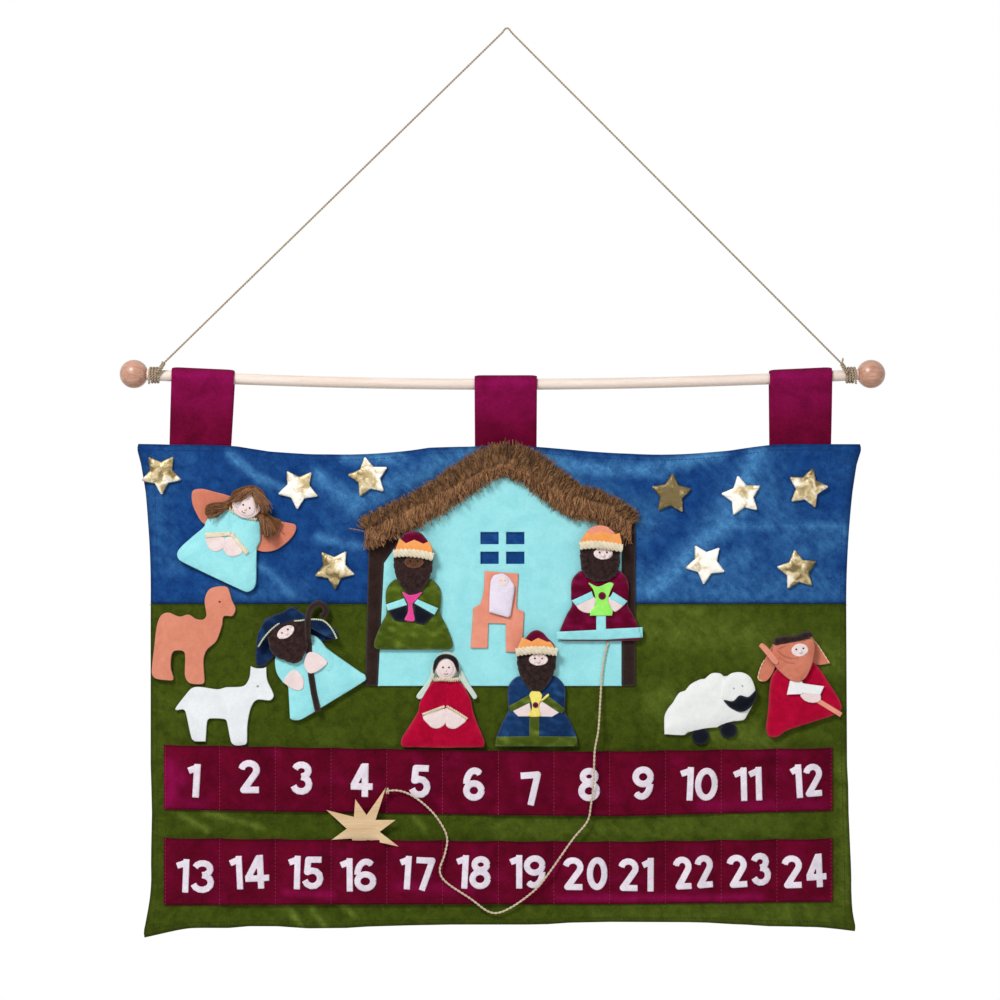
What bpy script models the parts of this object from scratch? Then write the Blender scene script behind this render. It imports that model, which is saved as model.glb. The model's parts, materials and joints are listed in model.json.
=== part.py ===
"""A fabric advent calendar: a two-layer cloth banner with a felt stable, two rows of twelve pockets,
felt figures and stars held by hook dots, three tabs, a bowed rod with ball ends and a hanging cord.

Metres. The front faces -Y, X runs to the right, +Z is up. The origin is the underside of the cord
where it goes over its nail, and the rod's axis lies straight below it, in the plane Y = 0.
"""

import math
import random

import bmesh
import bpy
from mathutils import Matrix, Vector

# Clearance between two pieces that touch
GAP = 0.0003

# Rod, ball ends and hanging cord
ROD_OVERHANG = 0.021
ROD_DIAMETER = 0.0105
ROD_DROP = 0.345
ROD_BOW = 0.0103
ROD_SHIFT = -0.0045
BALL_DIAMETER = 0.0285
BALL_BORE_DEPTH = 0.016
CORD_DIAMETER = 0.0022
CORD_BEND_RADIUS = 0.005
WINDING_TURNS = 3
WINDING_PITCH = 0.0029
WINDING_CLEARANCE = 0.0008
WINDING_INSET = 0.0205
WINDING_LEAD = 0.012
WINDING_TAIL = 0.009

# Cloth: felt thicknesses, and the plane of the seam that the tabs are sewn into
SEAM_Y = 0.0029
LEAF = 0.0012
LEAF_GAP = 0.0004
BACK_CLOTH = 0.0012
FRONT_CLOTH = 0.0015
FELT = 0.002

# Banner outline
BANNER_WIDTH = 0.695
BANNER_HEIGHT = 0.482
BANNER_SHIFT = -0.003
BANNER_DROP = 0.071
SKY_HEIGHT = 0.1587
TOP_SAG = 0.009
TOP_SAG_REACH = 0.1
TOP_CORNER = 0.0145
TOP_CORNER_REACH = 0.165
BOTTOM_CORNER = 0.007
CORNER_REACH = 0.05
CORNER_DEPTH = 0.02
SEAM_MARGIN = 0.008
CLOTH_STEP = 0.024
GROUND_STEP = 0.031

# Tabs
TAB_WIDTH = 0.0625
TAB_PLACE_SHARES = (0.071, 0.509, 0.933)
TAB_ROD_CLEARANCE = 0.0006
TAB_INSERT = 0.01
TAB_SIDE_CLEARANCE = 0.003
TAB_EASE = 0.022
TAB_ARC_STEPS = 9

# Folds of the hanging cloth: each line's ends as shares of the banner's width and height
FOLD_DEPTH = 0.0016
FOLD_WIDTH = 0.013
FOLD_SHARES = (
    ((0.12, 0.00), (0.17, 0.10)),
    ((0.03, 0.12), (0.05, 0.30)),
    ((0.44, 0.01), (0.36, 0.13)),
    ((0.56, 0.01), (0.69, 0.07)),
    ((0.88, 0.01), (0.76, 0.05)),
    ((0.98, 0.10), (0.99, 0.30)),
    ((0.03, 0.42), (0.02, 0.60)),
    ((0.72, 0.36), (0.86, 0.44)),
    ((0.05, 0.79), (0.24, 0.78)),
    ((0.50, 0.78), (0.80, 0.79)),
    ((0.12, 0.97), (0.50, 0.965)),
)

# Pockets
POCKET_COUNT = 12
POCKET_SIDE_MARGIN = 0.0133
POCKET_HEIGHT = 0.063
POCKET_CLOTH = 0.0012
POCKET_BULGE = 0.009
HELD_POCKET_BULGE = 0.0115
HELD_POCKET = 3
POCKET_CENTRE_SHARE = 0.4982
UPPER_ROW_SHARE = 0.6297
LOWER_ROW_SHARE = 0.8226
POCKET_CELLS = 5
POCKET_ROW_SHARES = (0.0, 0.4, 0.75, 1.0)

# Stable
STABLE_WIDTH = 0.269
STABLE_HEIGHT = 0.23
STABLE_LEFT_SHARE = 0.3086
STABLE_FOOT_SHARE = 0.5
POST_WIDTH = 0.0135
PANE_WIDTH = 0.018
PANE_HEIGHT = 0.012
MULLION = 0.0077
WINDOW_SHARES = (0.5056, 0.6)
BRACE_SHARES = ((0.116, 0.60), (0.095, 0.515), (0.47, 0.739, 0.678))
GABLE_SHARES = (0.761, 0.496, 0.77)
RIDGE_SHARES = ((-0.02, 0.655), (0.496, 0.965), (1.005, 0.71))
THATCH_COLUMNS = 70
THATCH_ROWS = 3
THATCH_BAND = 0.0115
THATCH_BACKING = 0.0015
STRAW_LENGTH = 0.0135
STRAW_SPREAD = 0.002
STRAW_LIFT = 0.003
MANGER_WIDTH = 0.054
MANGER_HEIGHT = 0.0815
MANGER_SHARES = (0.488, 0.146)

# Stuffed felt figures
HOOK_DOT_RADIUS = 0.0055
HOOK_DOT = 0.0015
BACK_FELT = 0.0012
BODY_WALL = 0.0024
BODY_CROWN = 0.0018
HEAD_WALL = 0.0022
HEAD_CROWN = 0.0018
CROWN_WALL = 0.0014
CROWN_CROWN = 0.001
STICK_FELT = 0.0014
STICK_WIDTH = 0.006
EDGE_SCALE_SHARES = ((1.0, 0.0), (0.94, 0.55), (0.62, 1.0))

# Gold stars: places as shares of the banner's width and height, and turns in degrees
STAR_RADIUS = 0.0205
STAR_INNER_SHARE = 0.47
STAR_POINTS = 5
STAR_WALL = 0.0014
STAR_CROWN = 0.0014
STAR_PLACE_SHARES = (
    ("star_1", 0.0130, 0.0605, 37.0),
    ("star_2", 0.2101, 0.0913, 33.0),
    ("star_3", 0.3108, 0.0664, 11.0),
    ("star_4", 0.2627, 0.2573, 38.0),
    ("star_5", 0.7482, 0.0996, -3.5),
    ("star_6", 0.8475, 0.1017, 11.5),
    ("star_7", 0.9433, 0.0913, -14.0),
    ("star_8", 0.7951, 0.2448, 30.5),
    ("star_9", 0.9266, 0.2593, 8.0),
)

# Animals and the child
CAMEL_WIDTH = 0.084
CAMEL_HEIGHT = 0.098
CAMEL_PLACE_SHARES = (0.0604, 0.4959)
GOAT_WIDTH = 0.0985
GOAT_HEIGHT = 0.0795
GOAT_PLACE_SHARES = (0.1047, 0.6235)
SHEEP_WIDTH = 0.09
SHEEP_HEIGHT = 0.0725
SHEEP_PLACE_SHARES = (0.8013, 0.6225)
SHEEP_HEAD_WIDTH = 0.034
SHEEP_HEAD_HEIGHT = 0.04
SHEEP_HEAD_SHARES = (0.33, 0.475)
CHILD_WIDTH = 0.026
CHILD_HEIGHT = 0.043
CHILD_PLACE_SHARES = (0.5043, 0.3568)

# Comet star marker and its string
COMET_WIDTH = 0.072
COMET_HEIGHT = 0.077
COMET_SIDE_SHARE = 0.5706
COMET_TUCK = 0.0215
COMET_THICKNESS = 0.002
COMET_SEAT_DEPTH = 0.0012
COMET_LEAN_DEGREES = 5.7
COMET_CORD_DIAMETER = 0.0022
COMET_CORD_STEP = 0.0066

# Outlines, each as shares of its piece's width and height
GOWN_SHARES = (
    (0.88, 0.0), (0.97, 0.03), (1.0, 0.10), (0.86, 0.33), (0.73, 0.56), (0.66, 0.76), (0.55, 0.92),
    (0.40, 1.0), (0.24, 1.03), (0.23, 1.17),
)
BEARD_SHARES = ((0.26, 0.0), (0.56, 0.14), (0.80, 0.36), (0.96, 0.62), (1.0, 0.80), (0.90, 0.96), (0.5, 1.0))
CROWN_SHARES = ((0.97, 0.0), (1.0, 0.20), (0.94, 0.30), (0.92, 0.62), (0.66, 0.62), (0.52, 0.84), (0.26, 0.97))
VEIL_SHARES = ((0.62, 0.0), (0.96, 0.0), (1.0, 0.06), (0.62, 0.62), (0.46, 0.88), (0.22, 1.0))
WING_SHARES = ((0.30, 0.05), (0.55, 0.0), (0.80, 0.20), (0.98, 0.68), (1.0, 0.92), (0.88, 1.0), (0.45, 0.86))
HAIR_SHARES = (
    (0.42, 0.30), (0.60, 0.06), (0.86, 0.0), (1.0, 0.14), (0.98, 0.36), (0.62, 0.50), (0.52, 0.62),
    (0.50, 0.82), (0.28, 1.0),
)
LEFT_CLOTH_SHARES = (
    (0.0, 0.34), (0.13, 0.30), (0.5, 0.30), (0.86, 0.0), (0.98, 0.05), (1.0, 0.32), (0.86, 0.70),
    (0.74, 0.88), (0.52, 1.0), (0.32, 0.98), (0.10, 0.70),
)
RIGHT_CLOTH_SHARES = (
    (0.0, 0.12), (0.18, 0.08), (0.5, 0.3), (0.86, 0.0), (1.0, 0.02), (0.90, 0.50), (0.80, 0.88),
    (0.56, 1.0), (0.30, 0.93), (0.12, 0.68),
)
MANGER_OUTLINE_SHARES = (
    (0.0, 0.035), (0.32, 0.035), (0.34, 0.20), (0.40, 0.33), (0.50, 0.37), (0.60, 0.33), (0.655, 0.20),
    (0.68, 0.0), (1.0, 0.0), (0.98, 0.28), (0.945, 0.52), (0.93, 0.62), (0.90, 1.0), (0.28, 1.0),
    (0.08, 0.58), (0.05, 0.50),
)
CHILD_SHARES = (
    (0.03, 0.20), (0.30, 0.06), (0.70, 0.0), (0.95, 0.07), (1.0, 0.45), (0.98, 0.80), (0.84, 0.96),
    (0.55, 1.0), (0.25, 0.95), (0.08, 0.78),
)
CAMEL_SHARES = (
    (0.0, 0.12), (0.04, 0.06), (0.17, 0.04), (0.26, 0.05), (0.23, 0.17), (0.24, 0.30), (0.28, 0.34),
    (0.39, 0.32), (0.395, 0.09), (0.45, 0.01), (0.60, 0.0), (0.63, 0.03), (0.62, 0.25), (0.66, 0.35),
    (0.77, 0.44), (0.84, 0.60), (0.86, 0.69), (0.96, 0.695), (1.0, 0.77), (0.96, 0.85), (0.91, 0.98),
    (0.83, 1.0), (0.69, 0.97), (0.63, 0.86), (0.65, 0.70), (0.61, 0.66), (0.53, 0.665), (0.44, 0.71),
    (0.33, 0.69), (0.20, 0.73), (0.11, 0.70), (0.06, 0.59), (0.03, 0.38),
)
GOAT_SHARES = (
    (0.0, 0.46), (0.08, 0.455), (0.105, 0.42), (0.165, 0.09), (0.20, 0.05), (0.31, 0.05), (0.325, 0.30),
    (0.35, 0.34), (0.505, 0.33), (0.53, 0.26), (0.565, 0.05), (0.61, 0.0), (0.71, 0.01), (0.73, 0.05),
    (0.735, 0.27), (0.77, 0.48), (0.83, 0.575), (0.96, 0.57), (1.0, 0.62), (0.985, 0.69), (0.935, 0.83),
    (0.925, 0.99), (0.89, 0.975), (0.82, 0.975), (0.765, 1.0), (0.75, 0.85), (0.69, 0.75), (0.52, 0.735),
    (0.43, 0.71), (0.25, 0.74), (0.17, 0.725), (0.105, 0.64),
)
SHEEP_SHARES = (
    (0.0, 0.16), (0.26, 0.155), (0.30, 0.17), (0.32, 0.05), (0.37, 0.0), (0.44, 0.0), (0.49, 0.06),
    (0.50, 0.25), (0.61, 0.255), (0.63, 0.15), (0.68, 0.09), (0.76, 0.09), (0.80, 0.17), (0.81, 0.33),
    (0.87, 0.355), (0.99, 0.56), (0.97, 0.78), (0.88, 0.90), (0.70, 0.97), (0.62, 1.0), (0.53, 1.0),
    (0.47, 0.93), (0.33, 0.89), (0.26, 0.775), (0.17, 0.70), (0.04, 0.48), (0.0, 0.39),
)
COMET_SHARES = (
    (0.458, 0.0), (0.347, 0.325), (0.07, 0.31), (0.28, 0.455), (0.0, 0.70), (0.38, 0.61), (0.40, 0.845),
    (0.555, 0.635), (0.826, 1.0), (0.68, 0.57), (0.958, 0.574), (0.736, 0.415), (0.98, 0.305), (0.56, 0.325),
)

# Dolls: foot place (shares of the banner), lean in degrees, gown, head and headwear sizes. Heights of
# the head's and the headwear's lower edges are measured up from the hem.
KING_GOWN = (0.084, 0.071)
KING_HEAD = (0.042, 0.043)
KING_HEAD_RISE = 0.054
KING_CROWN = (0.041, 0.027)
KING_CROWN_RISE = 0.0895
MOTHER_GOWN = (0.083, 0.068)
MOTHER_HEAD = (0.026, 0.03)
MOTHER_HEAD_RISE = 0.065
MOTHER_VEIL = (0.058, 0.048)
MOTHER_VEIL_RISE = 0.047
ANGEL_GOWN = (0.082, 0.065)
ANGEL_HEAD = (0.029, 0.03)
ANGEL_HEAD_RISE = 0.061
ANGEL_HAIR = (0.074, 0.046)
ANGEL_HAIR_RISE = 0.049
ANGEL_WINGS = (0.107, 0.036)
ANGEL_WINGS_RISE = 0.038
ANGEL_WINGS_SIDE = -0.003
SHEPHERD_GOWN = (0.082, 0.064)
SHEPHERD_HEAD = (0.04, 0.04)
SHEPHERD_HEAD_RISE = 0.046
SHEPHERD_HEAD_SIDE = -0.003
LEFT_CLOTH = (0.082, 0.053)
LEFT_CLOTH_RISE = 0.0475
RIGHT_GOWN = (0.077, 0.06)
RIGHT_HEAD = (0.041, 0.042)
RIGHT_HEAD_RISE = 0.042
RIGHT_HEAD_SIDE = 0.005
RIGHT_CLOTH = (0.074, 0.036)
RIGHT_CLOTH_RISE = 0.05
RIGHT_CLOTH_SIDE = 0.0035
CROOK_RADIUS = 0.0085
CROOK_SHAFT = 0.098
CROOK_FOOT = (-0.0142, -0.0066)
CROOK_LEAN_DEGREES = 25.0
STAFF_LENGTH = 0.096
STAFF_LEAN_DEGREES = -31.0
STAFF_FOOT_SIDE = 0.033
DOLL_PLACES = {
    "king_green": ((0.3763, 0.4222), 0.0),
    "king_burgundy": ((0.6460, 0.4066), 0.0),
    "king_blue": ((0.5532, 0.6235), 0.0),
    "mother": ((0.4187, 0.6235), 0.0),
    "angel": ((0.0928, 0.2656), 27.0),
    "shepherd_left": ((0.2561, 0.5249), -32.0),
    "shepherd_right": ((0.9410, 0.5747), -18.0),
}

# Places worked out from the sizes above
ROD_HALF = BANNER_WIDTH / 2 + ROD_OVERHANG
POCKET_PITCH = (BANNER_WIDTH - 2 * POCKET_SIDE_MARGIN) / POCKET_COUNT
ROD_RADIUS = ROD_DIAMETER / 2
SEAM_HALF = LEAF + LEAF_GAP / 2 + GAP
PANEL_FRONT = SEAM_Y + SEAM_HALF
CLOTH_FACE = SEAM_Y - SEAM_HALF - FRONT_CLOTH
WALL_FACE = CLOTH_FACE - GAP - FELT
BANNER_CENTRE = ROD_SHIFT + BANNER_SHIFT
BANNER_LEFT = BANNER_CENTRE - BANNER_WIDTH / 2
BANNER_TOP = -ROD_DROP - BANNER_DROP
POCKET_ROW_LEFT = BANNER_LEFT + POCKET_CENTRE_SHARE * BANNER_WIDTH - POCKET_COUNT * POCKET_PITCH / 2
STABLE_LEFT = BANNER_LEFT + STABLE_LEFT_SHARE * BANNER_WIDTH
STABLE_FOOT = BANNER_TOP - STABLE_FOOT_SHARE * BANNER_HEIGHT
WINDING_REACH = ROD_HALF - WINDING_INSET
AXIS_Z = -ROD_DROP - ROD_BOW * (1 - (WINDING_REACH / ROD_HALF) ** 2)


for old in list(bpy.data.objects):
    bpy.data.objects.remove(old, do_unlink=True)
parts = bpy.data.collections.new("fabric_advent_calendar")
bpy.context.scene.collection.children.link(parts)
cutters = bpy.data.collections.new("cutters")
bpy.context.scene.collection.children.link(cutters)
swing_axis = bpy.data.objects.new("swing_axis", None)
swing_axis.location = (ROD_SHIFT, 0, AXIS_Z)
parts.objects.link(swing_axis)


def look(name, colour, roughness=0.9, metallic=0.0):
    """A material of one colour."""
    made = bpy.data.materials.new(name)
    made.use_nodes = True
    shader = made.node_tree.nodes["Principled BSDF"]
    shader.inputs["Base Color"].default_value = (*colour, 1)
    shader.inputs["Roughness"].default_value = roughness
    shader.inputs["Metallic"].default_value = metallic
    return made


JUTE = look("jute", (0.45, 0.37, 0.26))
WOOD = look("rod_wood", (0.80, 0.62, 0.42), 0.6)
BALL_WOOD = look("ball_wood", (0.55, 0.28, 0.16), 0.5)
SKY_BLUE = look("sky_blue", (0.02, 0.08, 0.25), 0.7)
GRASS = look("grass_green", (0.07, 0.11, 0.01), 0.8)
BURGUNDY = look("burgundy_felt", (0.16, 0.0, 0.03))
LIGHT_BLUE = look("light_blue_felt", (0.27, 0.70, 0.75))
DARK_BROWN = look("dark_brown_felt", (0.04, 0.02, 0.02))
THATCH_DARK = look("thatch_dark", (0.12, 0.05, 0.02))
THATCH_LIGHT = look("thatch_light", (0.26, 0.11, 0.04))
SALMON = look("salmon_felt", (0.65, 0.22, 0.12))
GOLD = look("gold_lame", (0.75, 0.58, 0.28), 0.35, 0.6)
WHITE = look("white_felt", (0.80, 0.80, 0.82))
CRIMSON = look("crimson_felt", (0.50, 0.01, 0.04))
NAVY = look("navy_felt", (0.02, 0.05, 0.17))
OLIVE = look("olive_felt", (0.12, 0.16, 0.01))
ORANGE = look("orange_felt", (0.85, 0.35, 0.08))
SKIN = look("pale_felt", (0.75, 0.55, 0.52))
HAIR_BROWN = look("hair_brown", (0.20, 0.08, 0.02))
VEIL_GREY = look("veil_felt", (0.55, 0.65, 0.58))
COMET_WOOD = look("comet_wood", (0.72, 0.50, 0.26), 0.6)
STRING = look("comet_string", (0.66, 0.52, 0.36))


def add(name, data, material, place=(0, 0, 0), turn=(0, 0, 0), hangs=True):
    """A named piece; one that hangs with the banner is parented to the swing axis."""
    obj = bpy.data.objects.new(name, data)
    data.materials.append(material)
    obj.location = place
    obj.rotation_euler = turn
    parts.objects.link(obj)
    if hangs:
        obj.parent = swing_axis
        obj.matrix_parent_inverse = Matrix.Translation(-swing_axis.location)
    return obj


def smooth_mesh(mesh, degrees=40):
    mesh.shade_smooth()
    mesh.set_sharp_from_angle(angle=math.radians(degrees))


def ease(value):
    """0 below 0, 1 above 1, and a smooth step between."""
    held = min(max(value, 0.0), 1.0)
    return held * held * (3 - 2 * held)


def rod_height(x):
    """Height of the bowed rod's centre line at x."""
    share = (x - ROD_SHIFT) / ROD_HALF
    return -ROD_DROP - ROD_BOW * (1 - share * share)


def face_outwards(bm):
    """Turn a closed shape's faces outwards."""
    bmesh.ops.recalc_face_normals(bm, faces=bm.faces)
    if bm.calc_volume(signed=True) < 0:
        bmesh.ops.reverse_faces(bm, faces=bm.faces)


def loft(rings):
    """A closed mesh through rings of the same number of points, capped at both ends."""
    bm = bmesh.new()
    rows = [[bm.verts.new(point) for point in ring] for ring in rings]
    count = len(rows[0])
    for near, far in zip(rows, rows[1:]):
        for i in range(count):
            j = (i + 1) % count
            bm.faces.new((near[i], near[j], far[j], far[i]))
    bm.faces.new(rows[0])
    bm.faces.new(rows[-1])
    face_outwards(bm)
    mesh = bpy.data.meshes.new("loft")
    bm.to_mesh(mesh)
    bm.free()
    return mesh


def sized(shares, width, height, side=0.0, rise=0.0):
    """An outline from shares of a width and a height; side is its middle's place, rise its foot's."""
    return [(side + (x - 0.5) * width, rise + z * height) for x, z in shares]


def mirrored(half_shares, width, height, side=0.0, rise=0.0):
    """A whole outline from its right half, whose x is a share of the half width."""
    right = [(side + x * width / 2, rise + z * height) for x, z in half_shares]
    left = [(2 * side - x, z) for x, z in reversed(right)]
    return right + left


def oval(width, height, side, rise, count=14):
    """An oval outline standing at a height of rise."""
    turns = [math.tau * (i + 0.5) / count for i in range(count)]
    return [
        (side + width / 2 * math.cos(t), rise + height / 2 * (1 + math.sin(t))) for t in turns
    ]


def middle(outline):
    xs = [x for x, z in outline]
    zs = [z for x, z in outline]
    return (min(xs) + max(xs)) / 2, (min(zs) + max(zs)) / 2


def stuffed(outline, back, wall, crown, centre=None, dot=0.0):
    """A padded felt piece: a flat back, a wall, and a crowned front drawn in towards its centre.

    A dot is the depth of the hook dot that stands out from its back.
    """
    cx, cz = centre or middle(outline)
    rings = []
    if dot:
        spokes = []
        for x, z in outline:
            reach = math.hypot(x - cx, z - cz)
            spokes.append((cx + (x - cx) / reach * HOOK_DOT_RADIUS, cz + (z - cz) / reach * HOOK_DOT_RADIUS))
        rings.append([(x, back + dot, z) for x, z in spokes])
        rings.append([(x, back, z) for x, z in spokes])
    rings.append([(x, back, z) for x, z in outline])
    for scale, rise in EDGE_SCALE_SHARES:
        y = back - wall - crown * rise
        rings.append([(cx + (x - cx) * scale, y, cz + (z - cz) * scale) for x, z in outline])
    mesh = loft(rings)
    smooth_mesh(mesh, 50)
    return mesh


def flat_curve(outlines, thickness):
    """Flat felt cut to an outline; outlines after the first are holes."""
    curve = bpy.data.curves.new("felt", "CURVE")
    curve.dimensions = "2D"
    curve.fill_mode = "BOTH"
    curve.extrude = thickness / 2
    for outline in outlines:
        spline = curve.splines.new("POLY")
        spline.points.add(len(outline) - 1)
        for point, (x, z) in zip(spline.points, outline):
            point.co = (x, z, 0, 1)
        spline.use_cyclic_u = True
    return curve


def add_felt(name, outlines, thickness, back, material, place=(0, 0), lean=0.0):
    """A flat felt piece upright on the banner, with its back at a depth, leaning by an angle."""
    curve = flat_curve(outlines, thickness)
    spot = (place[0], back - thickness / 2, place[1])
    return add(name, curve, material, spot, (math.pi / 2, lean, 0))


def smooth_route(points, spacing):
    """Points at about an even spacing along a smooth curve through a route's own points."""
    knots = [Vector(p) for p in points]
    knots = [2 * knots[0] - knots[1], *knots, 2 * knots[-1] - knots[-2]]
    dense = []
    for a, b, c, d in zip(knots, knots[1:], knots[2:], knots[3:]):
        count = max(4, round((c - b).length / spacing * 4))
        for i in range(count):
            t = i / count
            dense.append(
                (b * 2 + (c - a) * t + (a * 2 - b * 5 + c * 4 - d) * t * t + (b * 3 - a - c * 3 + d) * t**3) / 2
            )
    dense.append(knots[-2])
    total = sum((q - p).length for p, q in zip(dense, dense[1:]))
    step = total / round(total / spacing)
    route, walked, mark = [dense[0]], 0.0, step
    for p, q in zip(dense, dense[1:]):
        length = (q - p).length
        while length and walked + length >= mark - GAP / 100:
            route.append(p.lerp(q, (mark - walked) / length))
            mark += step
        walked += length
    if (route[-1] - dense[-1]).length > step / 2:
        route.append(dense[-1])
    return route


def tube(points, diameter, sides=2):
    """A round cord or rod along points."""
    curve = bpy.data.curves.new("tube", "CURVE")
    curve.dimensions = "3D"
    curve.bevel_depth = diameter / 2
    curve.bevel_resolution = sides
    curve.use_fill_caps = True
    spline = curve.splines.new("POLY")
    spline.points.add(len(points) - 1)
    for point, co in zip(spline.points, points):
        point.co = (*co, 1)
    return curve


def ribbon(path, width):
    """The outline of a strip of an even width along an open path."""
    sides = []
    for i, point in enumerate(path):
        before = path[max(i - 1, 0)]
        after = path[min(i + 1, len(path) - 1)]
        run = Vector((after[0] - before[0], after[1] - before[1])).normalized()
        sides.append((Vector(point), Vector((-run.y, run.x)) * width / 2))
    return [tuple(p + s) for p, s in sides] + [tuple(p - s) for p, s in reversed(sides)]


def rod():
    """The bowed rod, which ends in the balls' bores."""
    reach = ROD_HALF - BALL_DIAMETER / 2 + BALL_BORE_DEPTH - GAP
    steps = 10
    points = []
    for i in range(steps + 1):
        x = ROD_SHIFT + reach * (2 * i / steps - 1)
        points.append((x, 0, rod_height(x)))
    add("rod", tube(points, ROD_DIAMETER, 4), WOOD)


def ball(name, hand):
    """A turned ball with a blind bore for the rod, its mouth towards the rod's middle."""
    radius = BALL_DIAMETER / 2
    bore = ROD_RADIUS + GAP
    floor = radius - BALL_BORE_DEPTH
    first = math.asin(math.sqrt(1 - (bore / radius) ** 2))
    steps = 8
    profile = [(0, floor), (bore, floor)]
    for i in range(steps + 1):
        turn = first + (-math.pi / 2 - first) * i / steps
        profile.append((radius * math.cos(turn) * (i < steps), radius * math.sin(turn)))
    bm = bmesh.new()
    verts = [bm.verts.new((r, 0, z)) for r, z in profile]
    for a, b in zip(verts, verts[1:]):
        bm.edges.new((a, b))
    mesh = bpy.data.meshes.new(name)
    bm.to_mesh(mesh)
    bm.free()
    slope = math.atan(2 * ROD_BOW / ROD_HALF)
    x = ROD_SHIFT + hand * ROD_HALF
    obj = add(name, mesh, BALL_WOOD, (x, 0, rod_height(x)), (0, -hand * (math.pi / 2 + slope), 0))
    screw = obj.modifiers.new("turned", "SCREW")
    screw.axis = "Z"
    screw.steps = 16
    screw.render_steps = 16
    screw.use_merge_vertices = True
    screw.merge_threshold = 0.00001
    screw.use_smooth_shade = True


def winding_point(hand, turn):
    """A point of the cord's turns round the rod; turn 0 is at the front and turns go down, back and up."""
    radius = ROD_RADIUS + WINDING_CLEARANCE + CORD_DIAMETER / 2
    middle_x = ROD_SHIFT + hand * WINDING_REACH
    x = middle_x + hand * WINDING_PITCH * (turn - WINDING_TURNS / 2)
    angle = math.tau * turn
    return x, -radius * math.cos(angle), AXIS_Z - radius * math.sin(angle)


def cord_end(hand):
    """Where the hanging cord stops above its winding."""
    x, y, z = winding_point(hand, 0)
    return Vector((x - hand * WINDING_LEAD / 2, y, z + WINDING_LEAD))


def hanging_cord():
    """One cord from winding to winding, bent over the nail at the origin."""
    top = CORD_DIAMETER / 2
    ends = {hand: cord_end(hand) for hand in (-1, 1)}
    points = []
    for hand in (-1, 1):
        run = (Vector((0, 0, top)) - ends[hand]).normalized()
        start = ends[hand] + run * GAP
        side = []
        for i in range(6):
            share = i / 6
            side.append(start.lerp(Vector((hand * CORD_BEND_RADIUS, 0, top - CORD_BEND_RADIUS)), share))
        side.append(Vector((hand * CORD_BEND_RADIUS, 0, top - CORD_BEND_RADIUS)))
        side.append(Vector((hand * CORD_BEND_RADIUS * 0.5, 0, top - CORD_BEND_RADIUS * 0.3)))
        points += side if hand < 0 else [Vector((0, 0, top)), *reversed(side)]
    add("hanging_cord", tube(points, CORD_DIAMETER), JUTE, hangs=False)


def cord_winding(name, hand):
    """The cord's turns round the rod, as one unbroken tube with a lead up to the hanging cord and a tail."""
    run = (Vector((0, 0, CORD_DIAMETER / 2)) - cord_end(hand)).normalized()
    top = cord_end(hand)
    points = [top, top - run * CORD_DIAMETER * 1.5]
    steps = 10
    points.append((top - run * CORD_DIAMETER * 1.5).lerp(Vector(winding_point(hand, 0)), 0.6))
    for i in range(WINDING_TURNS * steps + 1):
        points.append(Vector(winding_point(hand, i / steps)))
    last = points[-1]
    points.append(last + Vector((0, -CORD_DIAMETER / 3, -WINDING_TAIL / 2)))
    points.append(last + Vector((0, -CORD_DIAMETER, -WINDING_TAIL)))
    gap = least_gap(points, CORD_DIAMETER)
    print(f"{name}: least gap of the cord to itself {gap * 1000:.2f} mm")
    add(name, tube(points, CORD_DIAMETER, 1), JUTE, hangs=False)


def least_gap(points, diameter):
    """The least clear distance between parts of a tube that aren't neighbours along it."""
    along, best = [0.0], math.inf
    for p, q in zip(points, points[1:]):
        along.append(along[-1] + (q - p).length)
    for i, p in enumerate(points):
        for j in range(i + 1, len(points)):
            if along[j] - along[i] > diameter * 4:
                best = min(best, (points[j] - p).length - diameter)
    return best


def tab(name, place_share):
    """A folded strip of felt round the rod, both of its ends sewn into the banner's top seam."""
    x0 = BANNER_LEFT + place_share * BANNER_WIDTH
    radius = ROD_RADIUS + TAB_ROD_CLEARANCE + LEAF / 2
    stem = LEAF / 2 + LEAF_GAP / 2
    seam_top = top_edge(place_share)
    top = rod_height(x0)
    path = [(SEAM_Y - stem, seam_top - TAB_INSERT), (SEAM_Y - stem, seam_top)]
    for i in range(TAB_ARC_STEPS + 1):
        angle = -math.pi / 18 + (math.pi + math.pi / 9) * i / TAB_ARC_STEPS
        path.append((-radius * math.cos(angle), top + radius * math.sin(angle)))
    path += [(SEAM_Y + stem, seam_top), (SEAM_Y + stem, seam_top - TAB_INSERT)]
    profile = ribbon(path, LEAF)
    rings = []
    for share in (-0.5, 0.0, 0.5):
        x = x0 + share * TAB_WIDTH
        shift = rod_height(x) - top
        ring = []
        for y, z in profile:
            follow = min(max((z - seam_top) / (top - seam_top), 0.0), 1.0)
            ring.append((x, y, z + shift * follow))
        rings.append(ring)
    mesh = loft(rings)
    smooth_mesh(mesh)
    add(name, mesh, BURGUNDY)


def top_edge(share):
    """Height of the banner's top edge: level at the tabs, and sagging between them."""
    sag = 0.0
    for left, right in zip(TAB_PLACE_SHARES, TAB_PLACE_SHARES[1:]):
        if left < share < right:
            sag = TOP_SAG * math.sin(math.pi * (share - left) / (right - left)) ** 2
    return BANNER_TOP - sag


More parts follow.
